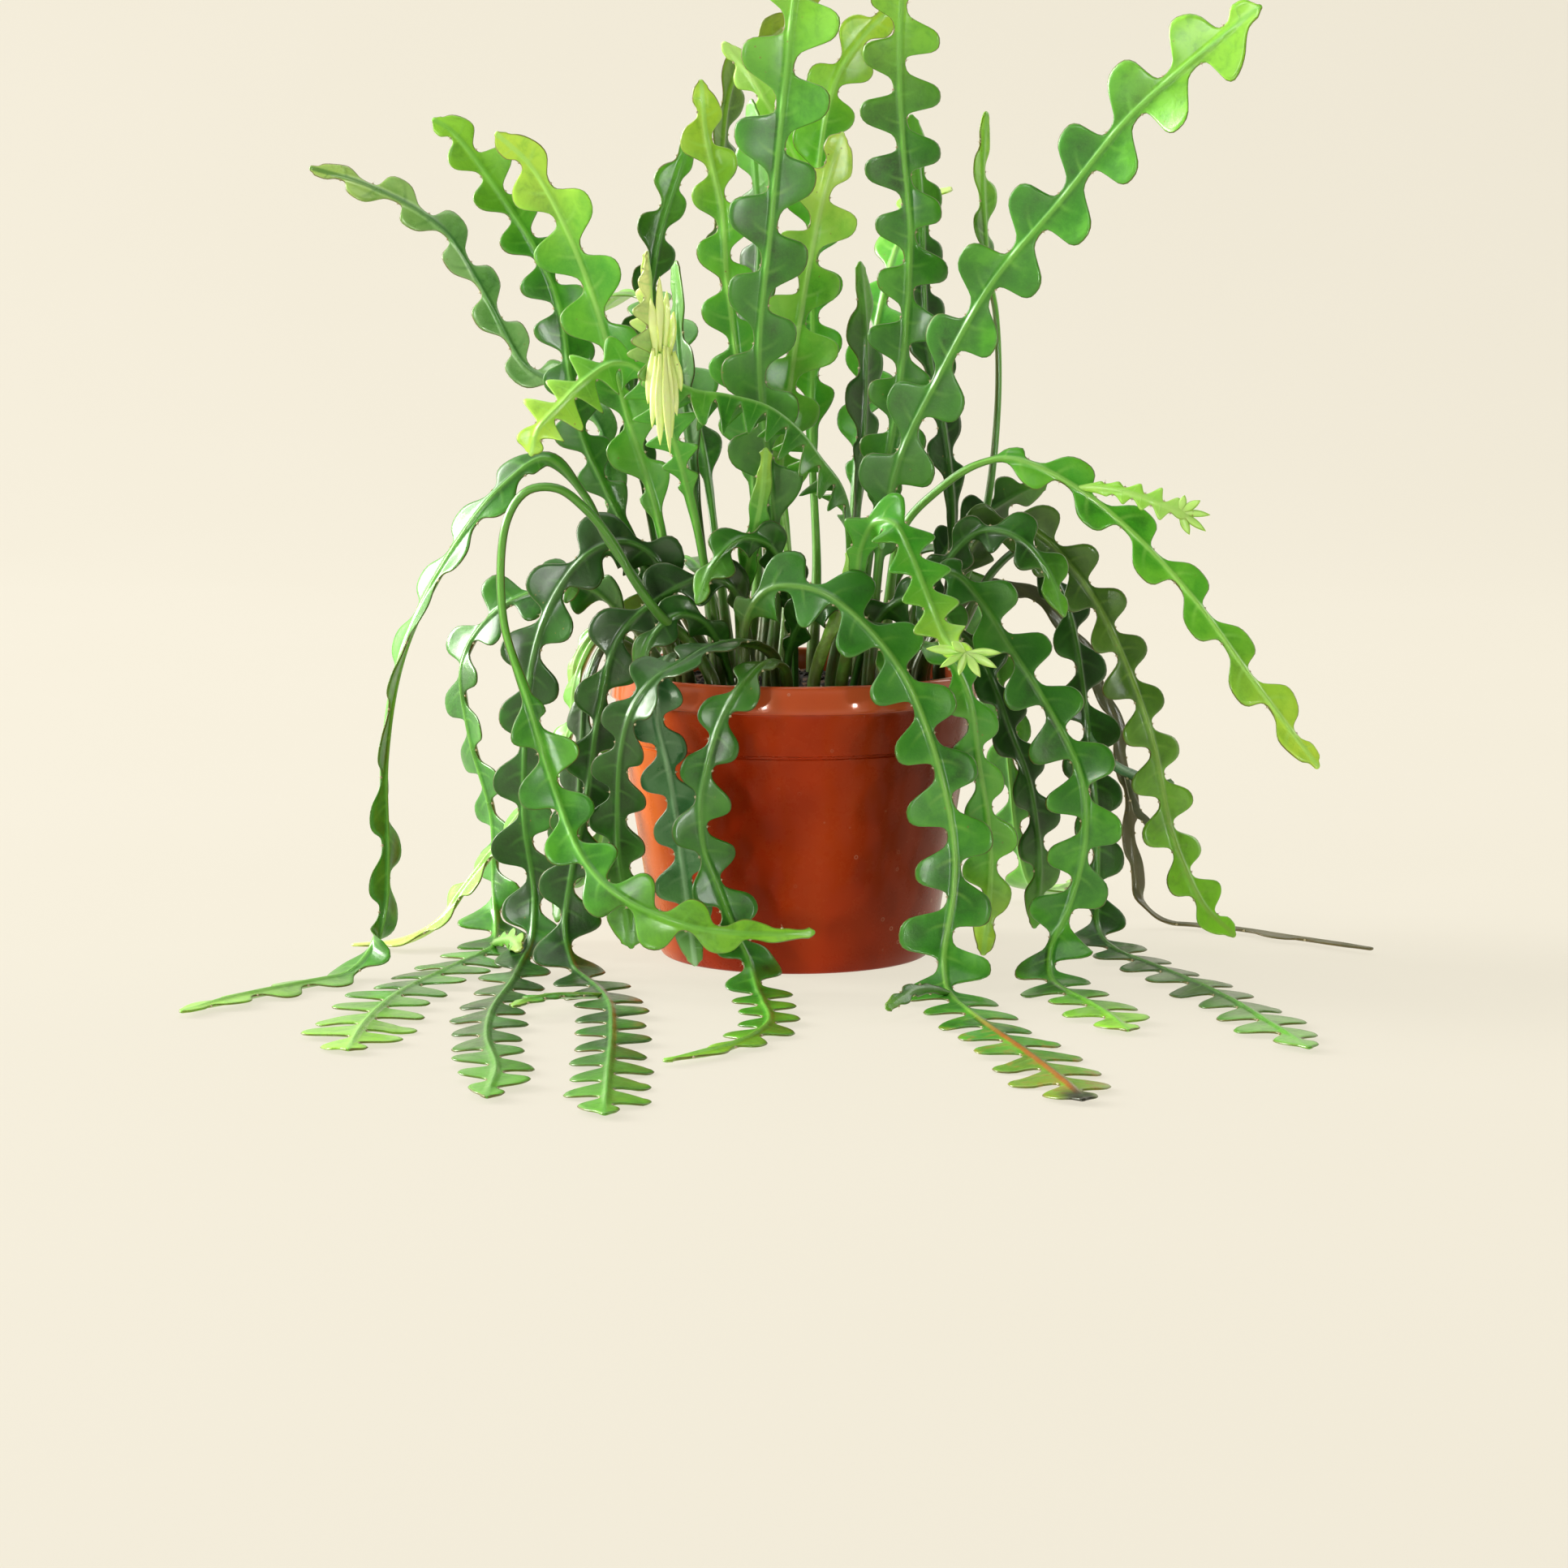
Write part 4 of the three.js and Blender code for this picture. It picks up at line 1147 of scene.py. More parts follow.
# ------------------------------------------------------------- stem table
STEMS: tuple[StemPlan, ...] = (
    StemPlan(
        "upright_stem_1", Tone.SILVER, root=(-52, 30), half=(9, 11), period=29, notch=0.16,
        bare=75, face=(-10, 20), spaced=True,
        route=((-74, 30, 172), (-85, 34, 210), (-89, 40, 236), (-105, 50, 254), (-124, 56, 264),
               (-143, 66, 296), (-164, 76, 327), (-197, 84, 346), (-226, 90, 355)),
    ),
    StemPlan(
        "upright_stem_2", Tone.MID, root=(-56, 2), half=(12, 14), period=23, notch=0.2,
        bare=75, face=(-20, 12),
        route=((-68, 0, 176), (-86, 2, 212), (-98, 5, 241), (-106, 10, 291), (-113, 12, 310),
               (-127, 15, 334), (-154, 22, 370), (-163, 24, 376)),
    ),
    StemPlan(
        "upright_stem_3", Tone.BRIGHT, root=(-54, -18), half=(13, 18), period=30, notch=0.18,
        bare=75, face=(8, -22),
        route=((-57, -22, 177), (-65, -22, 214), (-74, -22, 243), (-90, -22, 299), (-105, -24, 336),
               (-117, -26, 356), (-131, -30, 369)),
    ),
    StemPlan(
        "upright_stem_4", Tone.DEEP, root=(-40, 44), half=(10, 11), period=25, notch=0.3,
        bare=90, face=(28, 36),
        route=((-62, 46, 172), (-71, 52, 224), (-76, 54, 258), (-67, 54, 302), (-62, 56, 328),
               (-48, 60, 371)),
    ),
    StemPlan(
        "upright_stem_5", Tone.BRIGHT, root=(-22, -6), half=(12, 14), period=26, notch=0.2,
        bare=90, face=(-10, 18),
        route=((-17, -8, 176), (-20, -8, 227), (-25, -8, 260), (-31, -9, 308), (-33, -10, 336),
               (-40, -12, 369), (-42, -14, 392)),
    ),
    StemPlan(
        "upright_stem_6", Tone.MID, root=(-12, -34), half=(15, 23), period=36, notch=0.15,
        bare=70, face=(4, -14),
        route=((-8, -36, 171), (-11, -40, 215), (-16, -46, 272), (-11, -50, 326), (-8, -52, 357),
               (-4, -56, 395), (0, -60, 429), (7, -64, 463)),
    ),
    StemPlan(
        "upright_stem_7", Tone.PALE, root=(-6, 16), half=(16, 19), period=28, notch=0.18,
        bare=75, face=(12, 22),
        route=((-3, 20, 174), (-7, 22, 211), (-4, 24, 248), (2, 28, 288), (12, 32, 341), (21, 34, 370)),
    ),
    StemPlan(
        "upright_stem_8", Tone.MID, root=(28, -22), half=(14, 19), period=26, notch=0.16,
        bare=80, face=(-8, 16), lean=(-1.0, 1.0),
        route=((32, -26, 178), (38, -28, 211), (45, -31, 251), (49, -33, 292), (50, -35, 326),
               (47, -37, 360), (45, -40, 393), (46, -46, 450)),
    ),
    StemPlan(
        "upright_stem_9", Tone.MID, root=(32, -46), half=(14, 23.5), period=35, notch=0.15,
        bare=60, face=(4, -20), lean=(-1.0, 1.0),
        route=((35, -50, 166), (39, -54, 202), (46, -58, 230), (61, -64, 262), (84, -74, 304),
               (114, -86, 341), (142, -98, 376), (176, -110, 406), (193, -116, 420)),
    ),
    StemPlan(
        "upright_stem_10", Tone.MID, root=(56, 10), half=(8, 9), period=26, notch=0.25,
        bare=185, face=(50, 50),
        route=((76, 14, 167), (86, 18, 196), (92, 22, 248), (91, 24, 288), (87, 24, 310), (84, 26, 359),
               (86, 28, 379)),
    ),
    StemPlan(
        "upright_stem_11", Tone.DEEP, root=(52, 32), half=(12, 13), period=26, notch=0.3,
        bare=80, face=(38, 30),
        route=((67, 34, 150), (72, 36, 191), (68, 40, 235), (60, 43, 276), (57, 46, 339), (53, 48, 378)),
    ),
    StemPlan(
        "upright_stem_12", Tone.BRIGHT, root=(8, 48), half=(13, 14), period=28, notch=0.22,
        bare=110, face=(-20, 24),
        route=((10, 52, 171), (8, 58, 223), (8, 64, 276), (8, 68, 320), (17, 76, 391), (31, 80, 415),
               (49, 84, 432)),
    ),
    StemPlan(
        "upright_stem_13", Tone.OLIVE, root=(-16, 56), half=(11, 12), period=28, notch=0.3,
        bare=110, face=(36, 55),
        route=((-13, 60, 171), (-19, 68, 223), (-28, 74, 276), (-35, 80, 320), (-35, 86, 358),
               (-28, 92, 399), (-7, 98, 418), (11, 102, 437)),
    ),
    StemPlan(
        "upright_stem_14", Tone.DEEP, root=(-14, 36), half=(12, 12), period=26, notch=0.25,
        bare=90, face=(-32, -45),
        route=((-12, 40, 172), (-15, 42, 217), (-20, 44, 258), (-16, 46, 321), (-20, 48, 385)),
    ),
    StemPlan(
        "comb_arch_stem", Tone.COMB, root=(16, -30), half=(17, 16), period=12, notch=0.15,
        bare=70, face=(-90, -90), drapes=True, comb=True, hang=62, tail=70,
        route=((24, -38, 182), (20, -52, 213), (10, -62, 228), (0, -69, 241), (-13, -76, 251),
               (-30, -82, 256), (-45, -90, 259), (-57, -98, 268), (-62, -103, 292), (-63, -107, 318)),
    ),
    StemPlan(
        "left_stem_1", Tone.SHOOT, root=(-34, -42), half=(12, 15), period=13, notch=0.2,
        bare=90, face=(0, -14), comb=True,
        route=((-38, -44, 166), (-46, -51, 209), (-59, -62, 252), (-69, -66, 268), (-79, -68, 270),
               (-92, -72, 262), (-102, -76, 252), (-111, -80, 242), (-114, -82, 232)),
    ),
    StemPlan(
        "left_stem_2", Tone.MID, root=(-50, -42), half=(13, 13), period=31, notch=0.25,
        bare=120, face=(22, -182), lies=True,
        route=((-65, -44, 165), (-84, -46, 194), (-93, -48, 212), (-109, -50, 228), (-128, -52, 216),
               (-150, -56, 188), (-172, -60, 145), (-181, -60, 98), (-181, -60, 51), (-182, -62, 30),
               (-187, -67, 13), (-196, -78, 4), (-214, -98, 2.7), (-238, -128, 2.7), (-258, -160, 2.7)),
    ),
    StemPlan(
        "left_stem_3", Tone.MID, root=(-36, -58), half=(15, 16), period=28, notch=0.16,
        bare=228, face=(0, -8), tail=90,
        route=((-46, -55, 147), (-59, -65, 160), (-70, -72, 176), (-80, -75, 194), (-91, -79, 208),
               (-103, -81, 217), (-116, -81, 216), (-125, -81, 203), (-127, -80, 161), (-116, -82, 124),
               (-104, -88, 85), (-91, -104, 58), (-75, -116, 44), (-42, -124, 32), (-7, -122, 29),
               (7, -118, 29)),
    ),
    StemPlan(
        "left_stem_4", Tone.MID, root=(-62, 18), half=(14, 23), period=26, notch=0.12,
        bare=30, face=(-52, -80), lies=True,
        route=((-74, 26, 146), (-93, 32, 163), (-108, 34, 164), (-136, 38, 153), (-153, 38, 129),
               (-150, 34, 95), (-140, 30, 58), (-139, 27, 24), (-138, 15, 8), (-138, -10, 2.7),
               (-153, -60, 2.7), (-170, -120, 2.7), (-178, -180, 2.7), (-180, -240, 2.7)),
    ),
    StemPlan(
        "left_stem_5", Tone.PALE, root=(-68, 4), half=(11, 12), period=23, notch=0.2,
        bare=50, face=(-62, -74), lies=True,
        route=((-74, 4, 140), (-88, 6, 144), (-98, 6, 128), (-104, 6, 96), (-122, 6, 67), (-137, 4, 47),
               (-151, 2, 29), (-163, 2, 13), (-180, 2, 4), (-202, 0, 2.7)),
    ),
    StemPlan(
        "left_stem_6", Tone.DEEP, root=(-38, -28), half=(15, 16), period=29, notch=0.18,
        bare=45, face=(-10, -24), lies=True,
        route=((-55, -26, 156), (-62, -30, 182), (-75, -32, 190), (-90, -34, 186), (-105, -36, 169),
               (-116, -38, 141), (-120, -38, 105), (-121, -36, 66), (-117, -34, 32), (-118, -44, 12),
               (-122, -62, 4), (-124, -100, 2.7), (-128, -160, 2.7), (-126, -220, 2.7),
               (-118, -280, 2.7), (-118, -330, 2.7)),
    ),
    StemPlan(
        "left_stem_7", Tone.PALE, root=(-54, 46), half=(8, 8), period=20, notch=0.25,
        bare=45, face=(-35, -40),
        route=((-66, 50, 140), (-79, 54, 146), (-92, 56, 142), (-102, 57, 128), (-104, 57, 112)),
    ),
    StemPlan(
        "left_stem_8", Tone.DEEP, root=(-67, -12), half=(12, 13), period=25, notch=0.3,
        bare=50, face=(-30, -46),
        route=((-72, -11, 138), (-84, -12, 143), (-93, -13, 126), (-96, -14, 96), (-98, -14, 66),
               (-103, -14, 37), (-108, -16, 17)),
    ),
    StemPlan(
        "front_stem_1", Tone.RUSTY, root=(-22, -60), half=(17, 21), period=28, notch=0.14,
        bare=30, face=(0, 0), lies=True,
        route=((-23, -60, 150), (-20, -63, 163), (-12, -68, 172), (1, -75, 174), (17, -83, 169),
               (43, -93, 143), (58, -99, 110), (68, -102, 67), (68, -105, 44), (64, -110, 20),
               (64, -122, 7), (68, -142, 2.7), (78, -190, 2.7), (92, -250, 2.7), (104, -310, 2.7),
               (108, -335, 2.7)),
    ),
    StemPlan(
        "front_stem_2", Tone.MID, root=(-4, -62), half=(13, 15), period=25, notch=0.2,
        bare=25, face=(0, 0), drapes=True, lies=True, tail=90,
        route=((-6, -72, 139), (-13, -82, 141), (-21, -90, 135), (-31, -94, 120), (-37, -96, 103),
               (-41, -97, 83), (-40, -97, 62), (-34, -97, 45), (-27, -98, 27), (-20, -102, 11),
               (-17, -116, 3.6), (-14, -145, 2.7), (-12, -190, 2.7), (-28, -235, 2.7), (-52, -262, 2.7)),
    ),
    StemPlan(
        "front_stem_3", Tone.DEEP, root=(-8, -50), half=(12, 14), period=24, notch=0.3,
        bare=30, face=(0, -20), drapes=True,
        route=((-10, -58, 142), (-22, -71, 149), (-37, -83, 148), (-49, -93, 142), (-61, -97, 135),
               (-70, -99, 123), (-75, -95, 105), (-77, -88, 82), (-77, -84, 58), (-74, -82, 36),
               (-72, -84, 17)),
    ),
    StemPlan(
        "front_stem_4", Tone.DEEP, root=(-20, -46), half=(13, 18), period=29, notch=0.14,
        bare=35, face=(0, -20), lies=True,
        route=((-24, -48, 163), (-31, -52, 174), (-43, -52, 175), (-55, -53, 170), (-77, -58, 151),
               (-86, -60, 119), (-93, -60, 73), (-99, -60, 46), (-102, -62, 22), (-99, -72, 7),
               (-90, -94, 2.7), (-80, -140, 2.7), (-76, -200, 2.7), (-74, -280, 2.7), (-72, -360, 2.7)),
    ),
    StemPlan(
        "front_stem_5", Tone.BLUISH, root=(-47, -56), half=(11, 13), period=24, notch=0.25,
        bare=30, face=(-10, -10), drapes=True,
        route=((-49, -63, 140), (-55, -77, 143), (-60, -88, 134), (-60, -90, 116), (-56, -88, 98),
               (-52, -84, 74), (-49, -83, 50), (-46, -84, 26), (-44, -88, 10)),
    ),
    StemPlan(
        "right_stem_1", Tone.BRIGHT, root=(40, -8), half=(11, 13), period=32, notch=0.14,
        bare=125, face=(0, 24), spaced=True,
        route=((42, -12, 162), (48, -18, 195), (64, -24, 213), (80, -30, 224), (96, -36, 227),
               (123, -44, 215), (148, -50, 195), (175, -56, 166), (202, -62, 129), (229, -66, 94)),
    ),
    StemPlan(
        "right_stem_2", Tone.RIPE, root=(58, -6), half=(15, 14), period=23, notch=0.18,
        bare=50, face=(0, 30),
        route=((69, -6, 161), (82, -6, 189), (98, -6, 196), (112, -4, 189), (134, 0, 163), (151, 4, 129),
               (163, 4, 94), (171, 4, 56), (178, 2, 37), (187, 0, 20), (200, -4, 8)),
    ),
    StemPlan(
        "right_stem_3", Tone.MID, root=(46, -38), half=(15, 19), period=28, notch=0.14,
        bare=58, face=(0, 16), lies=True,
        route=((52, -46, 154), (57, -50, 175), (69, -55, 178), (82, -58, 165), (92, -60, 149),
               (110, -64, 121), (125, -68, 90), (127, -70, 62), (121, -70, 35), (113, -74, 16),
               (111, -88, 5), (114, -108, 2.7), (126, -150, 2.7), (136, -200, 2.7)),
    ),
    StemPlan(
        "right_stem_4", Tone.DEEP, root=(66, 22), half=(13, 18), period=29, notch=0.14,
        bare=78, face=(18, 32), lies=True,
        route=((77, 30, 147), (92, 36, 172), (105, 38, 181), (117, 38, 170), (126, 36, 152),
               (134, 32, 105), (139, 24, 53), (139, 20, 27), (139, 8, 8), (146, -20, 2.7),
               (168, -80, 2.7), (186, -140, 2.7), (198, -200, 2.7), (206, -236, 2.7)),
    ),
    StemPlan(
        "right_stem_5", Tone.WOODY, root=(56, 46), half=(5, 5.5), period=34, notch=0.36,
        bare=45, face=(20, 20), lies=True,
        route=((70, 54, 145), (91, 60, 163), (114, 66, 155), (135, 69, 131), (149, 69, 101),
               (156, 67, 70), (159, 63, 38), (163, 61, 14), (174, 59, 4), (200, 48, 2.7), (230, 20, 2.7),
               (262, -10, 2.7)),
    ),
    StemPlan(
        "right_stem_6", Tone.DEEP, root=(56, -22), half=(11, 12), period=24, notch=0.25,
        bare=25, face=(12, 28),
        route=((61, -29, 143), (70, -32, 150), (80, -34, 142), (88, -36, 126), (96, -37, 104),
               (103, -37, 86), (107, -37, 66), (109, -37, 42), (107, -38, 18)),
    ),
    StemPlan(
        "right_stem_7", Tone.BRIGHT, root=(43, -53), half=(12, 12), period=24, notch=0.25,
        bare=30, face=(10, 10), drapes=True,
        route=((48, -62, 143), (58, -74, 148), (69, -83, 139), (76, -86, 122), (79, -84, 99),
               (83, -82, 76), (85, -80, 52), (84, -80, 30), (82, -84, 14)),
    ),
    StemPlan(
        "right_stem_8", Tone.DEEP, root=(40, 22), half=(11, 12), period=21, notch=0.3,
        bare=50, face=(35, 40),
        route=((56, 28, 156), (72, 46, 184), (88, 54, 196), (102, 62, 204), (117, 68, 210)),
    ),
    StemPlan(
        "new_shoot_front", Tone.SHOOT, root=(20, -58), half=(14, 12), period=15, notch=0.3,
        bare=66, face=(10, 10), comb=True,
        route=((25, -70, 160), (28, -82, 192), (34, -92, 203), (42, -100, 203), (49, -106, 190),
               (57, -112, 170), (64, -120, 155), (73, -127, 149)),
    ),
    StemPlan(
        "new_shoot_left", Tone.BRIGHT, root=(-24, -28), half=(6, 6), period=24, notch=0.55,
        bare=40, face=(0, 0),
        route=((-24, -34, 162), (-20, -42, 186), (-15, -50, 211), (-13, -54, 232)),
    ),
    StemPlan(
        "new_shoot_middle", Tone.NEW, root=(8, -46), half=(6, 5), period=20, notch=0.5,
        bare=20, face=(0, 0),
        route=((12, -50, 144), (18, -54, 159), (22, -57, 173), (24, -60, 188)),
    ),
    StemPlan(
        "back_stem_1", Tone.MID, root=(-34, 62), half=(13, 15.5), period=33, notch=0.16,
        bare=45, face=(200, 200), drapes=True, lies=True,
        route=((-40, 72, 160), (-52, 92, 172), (-66, 112, 158), (-76, 122, 128), (-83, 128, 95),
               (-90, 132, 60), (-96, 137, 28), (-104, 152, 8), (-116, 178, 2.7), (-130, 222, 2.7)),
    ),
    StemPlan(
        "back_stem_2", Tone.DEEP, root=(-2, 70), half=(13, 15.5), period=33, notch=0.16,
        bare=35, face=(180, 180), drapes=True, lies=True,
        route=((-4, 82, 156), (-8, 100, 166), (-12, 116, 152), (-14, 124, 122), (-14, 127, 90),
               (-14, 128, 55), (-16, 132, 25), (-19, 146, 7), (-24, 176, 2.7), (-28, 214, 2.7)),
    ),
    StemPlan(
        "back_stem_3", Tone.OLIVE, root=(24, 62), half=(12, 14), period=32, notch=0.2,
        bare=25, face=(180, 170), drapes=True,
        route=((26, 74, 148), (30, 92, 154), (36, 106, 138), (40, 111, 108), (42, 112, 75),
               (44, 113, 42), (47, 116, 18)),
    ),
    StemPlan(
        "back_stem_4", Tone.MID, root=(39, 52), half=(13, 15.5), period=33, notch=0.16,
        bare=58, face=(150, 160), drapes=True, lies=True,
        route=((48, 68, 165), (63, 84, 178), (80, 98, 166), (92, 106, 140), (99, 110, 105),
               (104, 113, 68), (108, 118, 34), (116, 130, 9), (130, 154, 2.7), (144, 190, 2.7)),
    ),
    StemPlan(
        "back_stem_5", Tone.BRIGHT, root=(24, 36), half=(13, 15), period=33, notch=0.18,
        bare=85, face=(160, 150), drapes=True,
        route=((26, 42, 180), (30, 52, 230), (38, 70, 280), (48, 92, 318), (60, 114, 340), (74, 138, 346)),
    ),
    StemPlan(
        "back_stem_6", Tone.MID, root=(-30, 24), half=(13, 15), period=33, notch=0.18,
        bare=92, face=(200, 215), drapes=True,
        route=((-36, 34, 180), (-44, 62, 230), (-56, 92, 268), (-68, 120, 290), (-82, 148, 296),
               (-96, 174, 286)),
    ),
    StemPlan(
        "back_stem_7", Tone.DEEP, root=(20, 8), half=(11, 12), period=32, notch=0.3,
        bare=95, face=(30, 50),
        route=((26, 8, 180), (30, 8, 230), (31, 9, 275), (29, 8, 312)),
    ),
    StemPlan(
        "back_stem_8", Tone.DEEP, root=(-36, 8), half=(11, 12), period=32, notch=0.3,
        bare=95, face=(-30, -60),
        route=((-42, 14, 180), (-47, 20, 225), (-52, 26, 270), (-54, 30, 312)),
    ),
)

SIDE_SHOOTS: tuple[StemPlan, ...] = (
    StemPlan(
        "right_stem_1_shoot", Tone.NEW, half=(8, 6), period=9, notch=0.3, bare=8, face=(0, 20), comb=True,
        foot=(123.6, -44.2, 214.6), girth=1.3,
        route=((132, -47, 215), (146, -52, 213), (160, -56, 208), (173, -58, 203)),
    ),
    StemPlan(
        "right_stem_4_shoot", Tone.BLUISH, half=(4, 4.5), period=17, notch=0.6, bare=10, face=(20, 30),
        foot=(135, 31, 98), girth=1.2,
        route=((139, 28, 90), (148, 22, 82), (160, 14, 77), (172, 8, 76)),
    ),
    StemPlan(
        "left_stem_4_shoot", Tone.PALE, half=(5, 6), period=15, notch=0.4, bare=12, face=(0, 0),
        foot=(-138.6, -4, 3.4), girth=1.3,
        route=((-134, -20, 8), (-128, -38, 12), (-124, -54, 13), (-122, -66, 12)),
    ),
    StemPlan(
        "front_stem_4_shoot", Tone.BRIGHT, half=(8, 8), period=12, notch=0.4, bare=8, face=(0, 0), lies=True,
        foot=(-83.5, -126, 3.0), girth=1.3,
        route=((-92, -136, 5), (-103, -148, 7), (-112, -160, 7.5), (-118, -170, 7)),
    ),
    StemPlan(
        "upright_stem_12_shoot", Tone.NEW, half=(10, 9), period=17, notch=0.25, bare=10, face=(-10, 10),
        foot=(9.3, 70.2, 338), girth=1.3,
        route=((4, 72, 352), (-6, 75, 372), (-20, 78, 396), (-33, 80, 412)),
    ),
    StemPlan(
        "right_stem_5_sprig", Tone.WOODY, half=(3, 3.5), period=13, notch=0.5, bare=6, face=(20, 20),
        foot=(154.8, 66.6, 76), girth=1.1,
        route=((157, 62, 68), (160, 56, 58), (166, 50, 50), (170, 46, 45)),
    ),
    StemPlan(
        "front_stem_1_shoot", Tone.MID, half=(4, 5), period=12, notch=0.45, bare=8, face=(0, 0),
        foot=(65.7, -130, 4.6), girth=1.2,
        route=((59, -139, 8), (50, -150, 10), (44, -160, 8.5), (38, -170, 6)),
    ),
    StemPlan(
        "basal_shoot_1", Tone.DEEP, half=(10, 12), period=21, notch=0.2, bare=20, face=(0, 20),
        foot=(-4, -30, 123), girth=2.0,
        route=((-3, -40, 142), (3, -52, 157), (14, -61, 165), (27, -66, 160), (38, -69, 146), (44, -71, 128)),
    ),
    StemPlan(
        "basal_shoot_2", Tone.DEEP, half=(9, 11), period=19, notch=0.22, bare=26, face=(0, -20),
        foot=(0, -22, 123), girth=1.9,
        route=((-1, -30, 148), (-4, -40, 174), (-12, -48, 190), (-24, -54, 193), (-36, -59, 182),
               (-43, -62, 166)),
    ),
    StemPlan(
        "basal_shoot_3", Tone.DEEP, half=(10, 12), period=21, notch=0.2, bare=20, face=(0, 25),
        foot=(25, -34, 123), girth=2.0,
        route=((30, -44, 144), (40, -54, 162), (53, -61, 168), (66, -65, 158), (74, -67, 140)),
    ),
    StemPlan(
        "basal_shoot_4", Tone.DEEP, half=(9, 12), period=20, notch=0.2, bare=18, face=(0, -20),
        foot=(-28, -36, 123), girth=2.0,
        route=((-32, -46, 142), (-41, -55, 157), (-52, -61, 160), (-63, -65, 150), (-69, -67, 134)),
    ),
    StemPlan(
        "basal_shoot_5", Tone.DEEP, half=(9, 12), period=20, notch=0.2, bare=34, face=(0, 20),
        foot=(45, -14, 123), girth=2.0,
        route=((54, -16, 152), (66, -20, 178), (82, -25, 194), (98, -30, 192), (111, -34, 178),
               (119, -37, 158)),
    ),
    StemPlan(
        "basal_shoot_6", Tone.DEEP, half=(9, 11), period=20, notch=0.2, bare=34, face=(0, -20),
        foot=(-46, -14, 123), girth=2.0,
        route=((-53, -17, 150), (-64, -22, 174), (-78, -27, 186), (-92, -31, 181), (-102, -34, 164)),
    ),
)


@dataclass(frozen=True)
class FingerTuft:
    """A bunch of young finger-like lobes at the end of a shoot.

    All fingers start near foot, and each has its own end, as a step from foot. spread is the share of the
    sideways part of a step that a finger already has at its start, and point is how sharp the fingers end. A
    finger is foot_size of its full width at its foot, and widest at that share of its length.
    """

    name: str
    tone: Tone
    foot: tuple[float, float, float]
    ends: tuple[tuple[float, float, float], ...]
    half: float = 2.3
    thick: float = 0.75
    sag: float = 0.1
    spread: float = 0.0
    point: float = 0.5
    foot_size: float = 0.42
    widest: float = 0.5
    end_span: float = 0.505
    least_size: float = 0.06
    root_mm: float = 120.0
    stations: int = 14
    ring: int = 10

    def build(self) -> bpy.types.Object:
        """Makes all the fingers as one mesh.

        Returns:
            The new piece.
        """
        random = np.random.default_rng(SEED + 700 + len(self.name))
        points, marks, ways, faces = [], [], [], []
        for end in self.ends:
            base = self.stations * self.ring * len(points)
            finger, mark, way = self._finger(np.array(end, float), random)
            points.append(finger)
            marks.append(mark)
            ways.append(way)
            faces += [tuple(base + k for k in face) for face in ring_faces(self.stations, self.ring)]
        extras = {"leaf_mm": np.concatenate(marks), "leaf_way": np.concatenate(ways)}
        return mesh_piece(self.name, np.concatenate(points), faces, leaf_material(self.tone), extras)

    def _finger(self, step: np.ndarray, random: np.random.Generator) -> Triple:
        """One finger, narrow at its foot, widest past its middle and blunt at its end.

        Args:
            step: The way from the foot to the finger's end.
            random: The source of the small differences between fingers.

        Returns:
            The points, and the two vectors for the finish.
        """
        rise = random.uniform(-0.2, 0.1) * self.spread
        start = np.array(self.foot) + step * (self.spread, self.spread, rise)
        step = np.array(self.foot) + step - start
        length = float(np.linalg.norm(step))
        ahead = step / length
        look = unit(np.array([random.uniform(-0.5, 0.5), -1.0, random.uniform(-0.1, 0.5)]))
        front = unit(look - ahead * float(np.dot(look, ahead)))
        aside = np.cross(ahead, front)
        t = np.linspace(0.0, 1.0, self.stations)
        past = np.maximum((t - self.widest) / self.end_span, 0.0)
        end = np.clip(1.0 - past**2, 0.0, 1.0) ** self.point
        swell = mix(self.foot_size, 1.0, ease(t / self.widest)) * end
        width = self.half * random.uniform(0.85, 1.15) * np.maximum(swell, self.least_size)
        middle = start + ahead * (length * t)[:, None]
        middle += UP * (-self.sag * length * t**2)[:, None]
        middle += front * (random.uniform(-0.08, 0.12) * length * t**2)[:, None]
        turn = np.linspace(0.0, 2 * math.pi, self.ring, endpoint=False)
        depth = self.thick * np.minimum(1.0, width)
        spots = middle[:, None] + aside * (width[:, None] * np.cos(turn))[..., None]
        spots = spots + front * (depth[:, None] * np.sin(turn))[..., None]
        across = np.abs(width[:, None] * np.cos(turn))
        marks = np.stack([across, width[:, None] - across, np.full_like(across, 0.5)], -1)
        age, luck = mix(0.7, 1.0, t)[:, None], random.uniform(0.3, 0.9)
        ways = np.stack(np.broadcast_arrays(age, luck, self.root_mm + across), -1)
        return spots.reshape(-1, 3), marks.reshape(-1, 3), ways.reshape(-1, 3)

    def dress(self, piece: bpy.types.Object) -> None:
        """Fixes the tuft to the plant."""
        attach(piece, "root")


